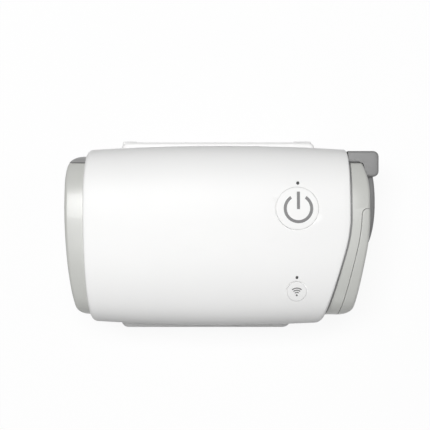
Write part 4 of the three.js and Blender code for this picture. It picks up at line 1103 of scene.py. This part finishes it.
# End cover and outlet panel
# The light grey skin of the right end, in two mouldings that snap onto the dark frame. A fine seam runs
# between them: the front one is the panel round the air outlet, the back one reaches round the bulge.
panel_back = 0.0113
panel_inboard = 0.0034
panel_splay = 0.05
panel_corner = 0.002
panel_seam = 0.00022
bulge_line = 0.0004
# The ring sizes below are for the dark ring of painted shade along the sleeve's right mouth, and for its
# groove.
ring_reach = 0.00105
ring_depth = 0.0006
ring_proud = 0.00012
ring_clear = 0.00005


def panel_region(grown):
    """A block over the outlet panel's place: in front of the seam and outboard of it."""
    back = panel_back + grown

    def inner(y):
        reach = slanted(y, right_end_reach, right_end_bend_y, right_end_bend_length, right_end_slant)
        return reach - panel_inboard - grown - panel_splay * (panel_back - y)

    front = -sleeve_half_width
    places = [front + step / 24 * (back - panel_corner - front) for step in range(25)]
    outline = [(inner(y), y) for y in places]
    middle = (inner(back) + panel_corner, back - panel_corner)
    for turn in rim_turns(6)[1:]:
        outline.append((middle[0] - panel_corner * math.cos(turn), middle[1] + panel_corner * math.sin(turn)))
    outline += [(far_right, back), (far_right, front)]
    count = len(outline)

    def spot(ring, turn):
        x, y = outline[round(turn / (2 * math.pi) * count) % count]
        return x, y, ring * room

    return tube("region", 2, count, spot)


def end_skin(name):
    """The light grey skin of the whole right end, with the groove that the dark ring of painted shade lies
    in.
    """
    groove = [
        (out_of_right(ring_reach), 0, 0, 1),
        (out_of_right(ring_reach), ring_depth, ring_depth, 1),
        (out_of_right(-ring_reach), ring_depth, ring_depth, 1),
        (out_of_right(-ring_reach), 0, 0, 1),
    ]
    skin = capped(name, right_end, -1, 0, out_of_right(mouth_tuck), right_halves, cover_edge, groove)
    combine(skin, hood(cover_wall, 2 * mouth_tuck, cover_edge / 2))
    combine(skin, behind_covers(0))
    combine(skin, bulge("bulge", bulge_line))
    return skin


end_cover = end_skin("end_cover_grey")
combine(end_cover, panel_region(panel_seam / 2))
combine(end_cover, rod_x("port", port_radius + port_wall, right_reach, far_right, outlet_y, sleeve_axis))
finished(end_cover, light_grey, "housing", "light_grey_plastic", "end_cover")

outlet_panel = end_skin("outlet_panel_grey")
combine(outlet_panel, panel_region(-panel_seam / 2), "INTERSECT")
combine(outlet_panel, rod_x("port", port_radius, well_floor, far_right, outlet_y, sleeve_axis, 96))
finished(outlet_panel, light_grey, "housing", "light_grey_plastic", "outlet_panel")

# Mouth ring
# A thin dark grey ring in a groove round the end covers. Its dark grey is painted shade: it shows as the
# shadow line along the sleeve's right mouth.
side = ring_reach - ring_clear
floor = ring_depth - ring_clear
stations = [(out_of_right(place), -ring_proud, -ring_proud, 1) for place in (side, -side)]
stations += [(out_of_right(place), floor, floor, 1) for place in (-side, side)]
ring = oval_skin("painted_shade_ring", stations, right_halves, sides=192, hollow=True)
combine(ring, behind_covers(0))
finished(ring, dark_grey, "housing", "dark_grey_plastic")

# Outlet nozzle
# The pale cone that a breathing hose is pushed over: 22 mm across at its root, with a rounded tip, on a
# flange that seats in the well, and a neck behind it that the soft duct is pulled over.
flange_thick = 0.0016
cone_root = 0.011
cone_tip = 0.0106
cone_bore = 0.0086
duct_bore = 0.0065
duct_outer = 0.0081
tip_round = 0.0005
neck_bead = 0.0002
neck_back, tip = nozzle_low[0], nozzle_high[0]
flange_radius = port_radius - snug
flange_end = flange_x + flange_thick


def rounded_tip(outer, inner, place, radius):
    """Profile points of a round end between an outer and an inner radius."""
    points = rolled_high(outer, place, radius)
    for turn in rim_turns(4):
        points.append((inner + radius * (1 - math.sin(turn)), place - radius * (1 - math.cos(turn))))
    return points


profile = [(duct_bore, neck_back), (duct_outer - neck_bead, neck_back)]
profile += [(duct_outer, neck_back + 2 * neck_bead)]
profile += [(duct_outer, flange_x - 2 * neck_bead), (duct_outer + 2 * neck_bead, flange_x)]
profile += [(flange_radius - neck_bead, flange_x), (flange_radius, flange_x + neck_bead)]
profile += [(flange_radius, flange_end - neck_bead), (flange_radius - neck_bead, flange_end)]
profile += [(cone_root + neck_bead, flange_end), (cone_root, flange_end + neck_bead)]
profile += rounded_tip(cone_tip, cone_bore, tip, tip_round)
profile += [(duct_bore + 2 * neck_bead, flange_end + 2 * neck_bead), (duct_bore, flange_end)]
nozzle = turned("nozzle_cone", profile, (0, outlet_y, sleeve_axis), "x", 96)
finished(nozzle, pale_plastic, "housing", "pale_plastic", "outlet_nozzle")

# Outlet seal
# A black rubber ring round the foot of the cone, with two lips that the hose's cuff presses on.
seal_low, seal_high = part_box("outlet_seal")
seal_outer = (seal_high[1] - seal_low[1]) / 2
seal_inner = cone_root + snug
seal_lip = 0.0003
profile = [(seal_inner, seal_low[0]), (seal_outer, seal_low[0]), (seal_outer, seal_high[0] - seal_lip)]
profile += [(seal_outer - seal_lip, seal_high[0]), (seal_outer - 2 * seal_lip, seal_high[0] - seal_lip)]
profile += [(seal_inner + seal_lip / 2, seal_high[0] - seal_lip), (seal_inner, seal_high[0] - 1.5 * seal_lip)]
seal = turned("nozzle_seal", profile, (0, outlet_y, sleeve_axis), "x", 96)
finished(seal, soft_rubber, "housing", "soft_rubber", "outlet_seal")

# Soft duct
# A short rubber sleeve between the blower's horn and the nozzle, with a swelling that lets it flex.
sleeve_low, sleeve_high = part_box("outlet_sleeve")
duct_inner = duct_outer + snug
duct_skin = 0.0015
swell_start = 0.0045
crest = (sleeve_high[1] - sleeve_low[1]) / 2 - duct_inner - duct_skin
swell_low = sleeve_low[0] + swell_start
swell_high = sleeve_high[0] - swell_start
profile = [(duct_inner, sleeve_low[0]), (duct_inner + duct_skin, sleeve_low[0])]
for step in range(13):
    share = step / 12
    along = swell_low + share * (swell_high - swell_low)
    profile.append((duct_inner + duct_skin + crest * math.sin(math.pi * share), along))
profile += [(duct_inner + duct_skin, sleeve_high[0]), (duct_inner, sleeve_high[0])]
duct = turned("soft_duct", profile, (0, outlet_y, sleeve_axis), "x", 64)
finished(duct, soft_rubber, "housing", "soft_rubber", "outlet_sleeve")

# Power socket
# A black moulded socket with rounded corners and three plated pins, let into the swelling.
socket_wall = 0.0011
socket_floor = 0.0014
pin_tip = 0.0003
black_plastic = moulded_plastic("black_plastic", (0.014, 0.014, 0.016), 0.45, 0.15, 0.0003, 0.05)
contact_brass = metal("contact_brass", (0.72, 0.52, 0.24), 0.25, 0.05, 0.0003, 0.03)

socket = window(socket_low, socket_high)
socket.name = "socket_black"
inside_low = (socket_low[0] + socket_floor, socket_low[1] + socket_wall, socket_low[2] + socket_wall)
inside_high = (socket_high[0] + snug, socket_high[1] - socket_wall, socket_high[2] - socket_wall)
combine(socket, window(inside_low, inside_high))
for index in (1, 2, 3):
    pin_low, pin_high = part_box(f"power_pin_{index}")
    _, y, z = centre_of(f"power_pin_{index}")
    radius = (pin_high[2] - pin_low[2]) / 2
    combine(socket, rod_x("hole", radius + snug / 2, socket_low[0] - snug, inside_low[0] + snug, y, z, 24))
    profile = [(0, pin_low[0]), (radius, pin_low[0]), (radius, pin_high[0] - 2 * pin_tip)]
    profile += [(radius - pin_tip / 2, pin_high[0] - pin_tip / 2)]
    profile += [(radius - pin_tip, pin_high[0]), (0, pin_high[0])]
    pin = turned(f"socket_pin_{index}", profile, (0, y, z), "x", 24)
    finished(pin, contact_brass, "housing", "contact_brass", f"power_pin_{index}")
finished(socket, black_plastic, "housing", "black_plastic", "power_socket")

# Blower housing
# A snail-shaped volute in two dark halves that meet on the outlet's axis. The round outlet horn runs out
# of it on the front side, the cover has the air inlet's eye, and the base has four ears for the mounts.
blower_x = centre_of("motor_shaft")[0]
horn_bore = duct_bore
horn_wall = 0.0016
horn_outer = horn_bore + horn_wall
horn_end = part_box("volute_base")[1][0]
volute_high = sleeve_axis + horn_outer
volute_low = sleeve_axis - horn_outer
wheel_radius = 0.017
tongue_gap = 0.0013
spread = 0.0048
tongue_turn = -math.pi / 4
spiral_turns = 1.75 * math.pi
eye_radius = 0.0075
ear_hole = 0.0035
ear_rim = 0.002
ear_height = 0.0024
ear_reach = 0.006
back_ear_reach = 0.012
volute_edge = 0.0009
halves_gap = 0.00015
inner_grey = moulded_plastic("inner_grey_plastic", (0.075, 0.08, 0.085), 0.5, 0.2, 0.0004, 0.03)


def snail(name, grown, low, high, edge=0.0):
    """A block with a spiral outline, with its upper and lower rims rounded where an edge is given."""
    steps = 96

    def spot(ring, turn):
        share = (turn % (2 * math.pi)) / (2 * math.pi) * steps / (steps - 1)
        around = min(share, 1) * spiral_turns
        z, inward = levels[ring]
        radius = wheel_radius + tongue_gap + spread * around / (2 * math.pi) + grown - inward
        place = tongue_turn + around
        return blower_x + radius * math.cos(place), radius * math.sin(place), z

    if edge:
        rolled = [(edge * (1 - math.cos(turn)), edge * (1 - math.sin(turn))) for turn in rim_turns(4)]
        levels = [(low + along, inward) for along, inward in rolled]
        levels += [(high - along, inward) for along, inward in reversed(rolled)]
    else:
        levels = [(low, 0), (high, 0)]
    return tube(name, len(levels), steps, spot)


def volute_form(name):
    form = snail(name, horn_wall, volute_low, volute_high, volute_edge)
    combine(form, rod_x("horn", horn_outer, blower_x, horn_end, outlet_y, sleeve_axis, 96), "UNION")
    return form


def hollow_out(half):
    combine(half, snail("room", 0, sleeve_axis - horn_bore, sleeve_axis + horn_bore))
    combine(half, rod_x("bore", horn_bore, blower_x, horn_end + snug, outlet_y, sleeve_axis, 96))


volute_cover = volute_form("volute_cover_dark")
keep_below(volute_cover, (0, 0, sleeve_axis + halves_gap), (0, 0, -1))
hollow_out(volute_cover)
combine(volute_cover, rod("eye", eye_radius, sleeve_axis, volute_high + snug, blower_x, 0, 96))
finished(volute_cover, inner_grey, "housing", "inner_grey_plastic", "volute_cover")

motor_low, motor_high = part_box("motor_cup")
bearing_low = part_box("upper_bearing")[0][2]
bearing_hole = radius_of("upper_bearing") + snug
shaft_radius = radius_of("motor_shaft")
shaft_hole = shaft_radius + snug
mounts = [f"blower_mount_{index}" for index in (1, 2, 3, 4)]

volute_base = volute_form("volute_base_dark")
keep_below(volute_base, (0, 0, sleeve_axis - halves_gap), (0, 0, 1))
for mount in mounts:
    x, y, _ = centre_of(mount)
    ear = rod("ear", ear_hole + ear_rim, volute_low, volute_low + ear_height, x, y, 48)
    towards = Vector((blower_x - x, -y, 0)).normalized()
    reach = ear_reach
    if mount == mounts[-1]:
        towards, reach = Vector((0, 1, 0)), back_ear_reach
    across = Vector((-towards.y, towards.x, 0)) * (ear_hole + ear_rim / 2)
    web = block("web", (-1, -1, 0), (1, 1, 1))
    for vertex in web.data.vertices:
        along = towards * reach * (vertex.co.x + 1) / 2
        vertex.co = Vector((x, y, volute_low + ear_height * vertex.co.z)) + along + across * vertex.co.y
    combine(ear, web, "UNION")
    combine(volute_base, ear, "UNION")
hollow_out(volute_base)
seat_radius = bearing_hole + horn_wall
seat = rod("seat", seat_radius, bearing_low - snug, volute_low + horn_wall / 2, blower_x, 0, 48)
combine(volute_base, seat, "UNION")
combine(volute_base, rod("bearing", bearing_hole, bearing_low - 2 * snug, volute_low, blower_x, 0, 48))
combine(volute_base, rod("shaft", shaft_hole, volute_low - snug, sleeve_axis, blower_x, 0, 32))
for mount in mounts:
    x, y, _ = centre_of(mount)
    combine(volute_base, rod("hole", ear_hole, volute_low - snug, volute_low + ear_height + snug, x, y, 48))
finished(volute_base, inner_grey, "housing", "inner_grey_plastic", "volute_base")

# Impeller
# A pale moulded wheel: a round plate that rises to a hub, and nine thin blades that lean back against
# the turn, with rounded tips.
wheel_low, wheel_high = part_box("impeller")
plate = 0.0012
hub_radius = 0.0036
hub_edge = 0.0004
hub_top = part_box("motor_shaft")[1][2]
blade_count = 9
blade_half = 0.0005
blade_lean = 0.9
blade_taper = 0.45
blade_steps = 14
plate_top = wheel_low[2] + plate

profile = [(shaft_hole, wheel_low[2]), (wheel_radius - plate / 4, wheel_low[2])]
profile += [(wheel_radius, wheel_low[2] + plate / 2), (wheel_radius - plate / 4, plate_top)]
for step in range(9):
    share = step / 8
    rise = (hub_top - plate_top) * share**2.5
    profile.append((eye_radius + share * (hub_radius - eye_radius), plate_top + rise))
profile += [(hub_radius - hub_edge, hub_top), (shaft_hole, hub_top)]
impeller = turned("impeller_wheel", profile, (blower_x, 0, 0), sides=96)
for blade in range(blade_count):
    start = 2 * math.pi * blade / blade_count

    def spot(ring, turn, start=start):
        index = round(turn / (2 * math.pi) * 2 * blade_steps) % (2 * blade_steps)
        side = 1 if index < blade_steps else -1
        share = (index if side > 0 else 2 * blade_steps - 1 - index) / (blade_steps - 1)
        radius = eye_radius + share * (wheel_radius - snug - eye_radius)
        half = side * blade_half * (1 - blade_taper * abs(2 * share - 1) ** 4)
        lean = start - blade_lean * share
        z = (plate_top - plate / 2, wheel_high[2])[ring]
        x = blower_x + radius * math.cos(lean) - half * math.sin(lean)
        return x, radius * math.sin(lean) + half * math.cos(lean), z

    combine(impeller, tube("blade", 2, 2 * blade_steps, spot), "UNION")
finished(impeller, pale_plastic, "rotor", "pale_plastic", "impeller")

# Motor
# Under the blower a steel cup holds a copper stator, wound on nine poles. A ground shaft with a ring
# magnet turns in it on two bearings, whose rings, shields and grooves show from above.
cup_wall = 0.0014
cup_radius = radius_of("motor_cup")
cup_inner = cup_radius - cup_wall
cup_round = 0.0012
pole_count = 9
motor_metal = metal("motor_metal", (0.42, 0.43, 0.44), 0.32, 0.1, 0.0003, 0.04)

cup_floor = motor_low[2] + cup_wall
seat_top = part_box("lower_bearing")[1][2] - snug
profile = [(0, motor_low[2]), *rolled_low(cup_radius, motor_low[2], cup_round)]
profile += [(cup_radius, motor_high[2]), (cup_inner, motor_high[2]), (cup_inner, cup_floor)]
profile += [(seat_radius, cup_floor), (seat_radius, seat_top)]
profile += [(bearing_hole, seat_top), (bearing_hole, cup_floor), (0, cup_floor)]
cup = turned("motor_can", profile, (blower_x, 0, 0), sides=96)
finished(cup, motor_metal, "housing", "motor_metal", "motor_cup")

shaft_round = 0.0003
shaft_low, shaft_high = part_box("motor_shaft")
shaft_flat = shaft_radius - shaft_round
profile = [(0, shaft_low[2]), (shaft_flat, shaft_low[2]), (shaft_radius, shaft_low[2] + shaft_round)]
profile += [(shaft_radius, shaft_high[2] - shaft_round), (shaft_flat, shaft_high[2]), (0, shaft_high[2])]
shaft = turned("ground_shaft", profile, (blower_x, 0, 0), sides=48)
finished(shaft, plated_steel, "rotor", "plated_steel", "motor_shaft")

ball_groove = 0.0002
for node in ("lower_bearing", "upper_bearing"):
    low, high = (corner[2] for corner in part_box(node))
    outer = radius_of(node)
    middle = (shaft_hole + outer) / 2
    shield = (outer - shaft_hole) / 5
    near, far = middle - shield, middle + shield
    profile = [(shaft_hole, low), (near, low), (near, low + ball_groove), (far, low + ball_groove)]
    profile += [(far, low), (outer, low), (outer, high), (far, high), (far, high - ball_groove)]
    profile += [(near, high - ball_groove), (near, high), (shaft_hole, high)]
    bearing = turned(f"{node}_rings", profile, (blower_x, 0, 0), sides=48)
    finished(bearing, plated_steel, "housing", "plated_steel", node)

low, high = (corner[2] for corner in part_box("rotor_magnet"))
magnet_radius = radius_of("rotor_magnet")
profile = [(shaft_hole, low), (magnet_radius - shaft_round, low), (magnet_radius, low + shaft_round)]
profile += [(magnet_radius, high - shaft_round), (magnet_radius - shaft_round, high), (shaft_hole, high)]
magnet = turned("ring_magnet", profile, (blower_x, 0, 0), sides=48)
finished(magnet, motor_metal, "rotor", "motor_metal", "rotor_magnet")

stator_low, stator_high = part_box("motor_stator")
stator_outer = radius_of("motor_stator")
stator_inner = 0.0062
coil_near = 0.0078
coil_far = 0.0105
coil_swell = 0.0009
coil_sink_share = 0.12
copper_winding = metal("copper_winding", (0.55, 0.22, 0.08), 0.3, 0.6, 0.00025, 0.12)
coil_profile = [(stator_inner, 0.25), (stator_inner, 0.75), (coil_near, 1), (coil_far, 1)]
coil_profile += [(stator_outer, 0.7), (stator_outer, 0.3), (coil_far, 0), (coil_near, 0)]


def coil_spot(ring, turn):
    """A ring whose top and bottom swell over each pole and sink between the coils."""
    radius, share = coil_profile[ring]
    between = 0.5 + 0.5 * math.cos(pole_count * turn)
    height = stator_high[2] - stator_low[2]
    share = min(max(share, coil_sink_share * between), 1 - coil_sink_share * between)
    reach = radius + (coil_swell * between if radius == stator_inner else 0)
    return blower_x + reach * math.cos(turn), reach * math.sin(turn), stator_low[2] + height * share


stator = tube("wound_stator", len(coil_profile), 180, coil_spot, hollow=True)
finished(stator, copper_winding, "housing", "copper_winding", "motor_stator")

# Blower mounts
# Four black rubber grommets. Each hangs in an ear of the blower and sits on a post with a pin through it,
# so that the blower touches the housing nowhere else.
mount_neck = 0.0032
mount_hole = 0.0019
flange_round = 0.0005
for mount in mounts:
    x, y, _ = centre_of(mount)
    low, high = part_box(mount)
    outer = radius_of(mount)
    under, over = volute_low - snug, volute_low + ear_height + snug
    profile = [(mount_hole, low[2]), *rolled_low(outer, low[2], flange_round, 3)]
    profile += [(outer, under), (mount_neck, under), (mount_neck, over), (outer, over)]
    profile += [*rolled_high(outer, high[2], flange_round, 3), (mount_hole, high[2])]
    piece = turned(f"{mount}_grommet", profile, (x, y, 0), sides=48)
    finished(piece, soft_rubber, "housing", "soft_rubber", mount)

# Muffler chamber
# A dark moulded box with one tall end behind the air inlet and a flat part over the blower's eye. A block
# of dark foam with round holes fills the tall end and takes the noise out of the air.
plenum_low, plenum_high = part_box("inlet_plenum")
plenum_wall = 0.0014
plenum_deep = 0.011
chamber_round = 0.0012
plenum_floor = volute_high + snug


def chamber(name, inset, past, rounded=0.0):
    """The tall box and the flat box joined, moved inwards by the inset and left open to the left."""
    left = plenum_low[0] - past
    depth = plenum_high[1] - inset
    top = plenum_high[2] - inset
    tall = (left, -depth, plenum_low[2] + inset), (plenum_low[0] + plenum_deep - inset, depth, top)
    flat = (left, -depth, plenum_floor + inset), (plenum_high[0] - inset, depth, top)
    box = block(name, *tall, rounded)
    combine(box, block("flat", *flat, rounded), "UNION")
    return box


plenum = chamber("muffler_chamber", 0, 0, chamber_round)
combine(plenum, chamber("room", plenum_wall, snug, chamber_round / 2))
mouth = (plenum_low[0] - snug, -plenum_high[1] + plenum_wall, plenum_low[2] + plenum_wall)
mouth_end = (plenum_low[0] + plenum_wall, plenum_high[1] - plenum_wall, plenum_high[2] - plenum_wall)
combine(plenum, block("mouth", mouth, mouth_end))
eye_top = plenum_floor + 2 * plenum_wall
combine(plenum, rod("eye", eye_radius, plenum_floor - snug, eye_top, blower_x, 0, 96))
finished(plenum, inner_grey, "housing", "inner_grey_plastic", "inlet_plenum")

foam_low, foam_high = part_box("muffler_foam")
foam_hole = 0.0022
foam_round = 0.0008
foam_columns = (-0.6, -0.2, 0.2, 0.6)
foam_rows = (0.25, 0.5, 0.75)
open_foam = moulded_plastic("open_foam", (0.03, 0.03, 0.034), 0.95, 1, 0.0009, 0.35)
foam = block("muffler_foam_block", foam_low, foam_high, foam_round, 3)
for across_share in foam_columns:
    for up_share in foam_rows:
        z = plenum_low[2] + up_share * (plenum_high[2] - plenum_low[2])
        y = across_share * foam_high[1]
        combine(foam, rod_x("hole", foam_hole, foam_low[0] - snug, foam_high[0] + snug, y, z, 32))
finished(foam, open_foam, "housing", "foam", "muffler_foam")

# Circuit board
# A green glass-fibre board, screwed under the sleeve's top. It carries the controller, a capacitor, the
# two push switches, the two lamps and, hung under it, the flow sensor.
case_edge = 0.0003
lamp_edge = 0.0001
board_green = moulded_plastic("board_green", (0.012, 0.11, 0.045), 0.35, 0.1, 0.0012, 0.3, 0.3)
chip_black = moulded_plastic("chip_black", (0.012, 0.012, 0.013), 0.6, 0.4, 0.0002, 0.05)
tinned = metal("tinned_steel", (0.62, 0.62, 0.6), 0.28, 0.1, 0.0003, 0.04)
lamp_yellow = moulded_plastic("lamp_yellow", (0.5, 0.45, 0.22), 0.25, 0.05, 0.0003, 0.03)
board_frame = bpy.data.objects["main_board"]
board_frame.data.materials.clear()
board_frame.data.materials.append(board_green)


def pinned(name, node, material, slot, bevel, pin_rows, pin_pitch, pin_width, pin_down):
    """A component's block with bevelled edges and bent pins along two of its sides."""
    low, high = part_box(node)
    body = block(name, low, high, bevel, 3)
    body.data.materials.append(material)
    middle_x, middle_y, _ = centre_of(node)
    for side in (-1, 1):
        for row in range(pin_rows):
            y = middle_y + (row - (pin_rows - 1) / 2) * pin_pitch
            x = middle_x + side * ((high[0] - low[0]) / 2 - pin_width / 2)
            start = (x - pin_width / 2, y - pin_width / 2, low[2])
            end = (x + pin_width / 2, y + pin_width / 2, low[2] + pin_down)
            combine(body, block("notch", start, end))
    finished(body, material, "housing", slot, node)


pinned("controller", "controller_chip", chip_black, "black_plastic", 0.00018, 6, 0.0009, 0.0004, 0.0005)
pinned("flow_sensor_case", "flow_sensor", chip_black, "black_plastic", 0.0004, 3, 0.0016, 0.0006, 0.0008)

can_low, can_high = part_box("storage_capacitor")
can_x, can_y, _ = centre_of("storage_capacitor")
can_radius = radius_of("storage_capacitor")
can_groove = 0.0002
groove_heights = (0.0006, 0.0009, 0.0012)
can_lip = 0.001
start, deepest, end = (can_low[2] + height for height in groove_heights)
profile = [(0, can_low[2]), (can_radius, can_low[2]), (can_radius, start)]
profile += [(can_radius - can_groove, deepest), (can_radius, end)]
profile += rolled_high(can_radius, can_high[2], 3 * can_groove)
profile += [(can_radius - can_lip, can_high[2] - can_groove), (0, can_high[2] - can_groove)]
can = turned("capacitor_can", profile, (can_x, can_y, 0), sides=48)
finished(can, tinned, "housing", "black_plastic", "storage_capacitor")

board_screw_recess = 0.0007
thread_turns = 9
head_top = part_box("main_board")[0][2] - snug
for index in (1, 2, 3, 4):
    node = f"board_screw_{index}"
    x, y, _ = centre_of(node)
    low, high = (corner[2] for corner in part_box(node))
    head = radius_of(node)
    shank = head / 2
    pitch = (high - head_top) / (thread_turns + 1)
    recess = low + board_screw_recess
    profile = [(0, recess), (head / 3, recess), (head / 3, low)]
    profile += [(head * 0.8, low), (head, low + head / 5), (head, head_top), (shank, head_top)]
    for ring in range(thread_turns):
        z = head_top + pitch * (ring + 1)
        profile += [(shank, z), (shank * 0.8, z + pitch / 2)]
    profile += [(shank * 0.6, high), (0, high)]
    screw = turned(f"{node}_turned", profile, (x, y, 0), sides=32)
    finished(screw, plated_steel, "housing", "plated_steel", node)

for part, body in (("start", "start_button_body"), ("wireless", "wireless_button_body")):
    low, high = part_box(f"{part}_switch")
    x, y, _ = centre_of(f"{part}_switch")
    plunger_low, plunger_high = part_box(f"{part}_switch_plunger")
    plunger_radius = radius_of(f"{part}_switch_plunger")
    case = block(f"{part}_switch_case", low, high, case_edge, 3)
    well = plunger_low[2] - snug - (plunger_high[2] - high[2]) / 2
    combine(case, rod("well", plunger_radius + snug, well, high[2] + snug, x, y, 32))
    finished(case, black_plastic, "housing", "black_plastic", f"{part}_switch")
    tip = plunger_radius / 4
    top = plunger_high[2]
    profile = [(0, plunger_low[2]), (plunger_radius, plunger_low[2]), (plunger_radius, top - tip)]
    profile += [(plunger_radius - tip / 3, top - tip / 3), (plunger_radius - tip, top), (0, top)]
    plunger = turned(f"{part}_plunger", profile, (x, y, 0), sides=32)
    finished(plunger, soft_rubber, body, "soft_rubber", f"{part}_switch_plunger")
    low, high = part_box(f"{part}_lamp_led")
    lamp = block(f"{part}_lamp", low, high, lamp_edge, 2)
    finished(lamp, lamp_yellow, "housing", "lamp_dark", f"{part}_lamp_led")
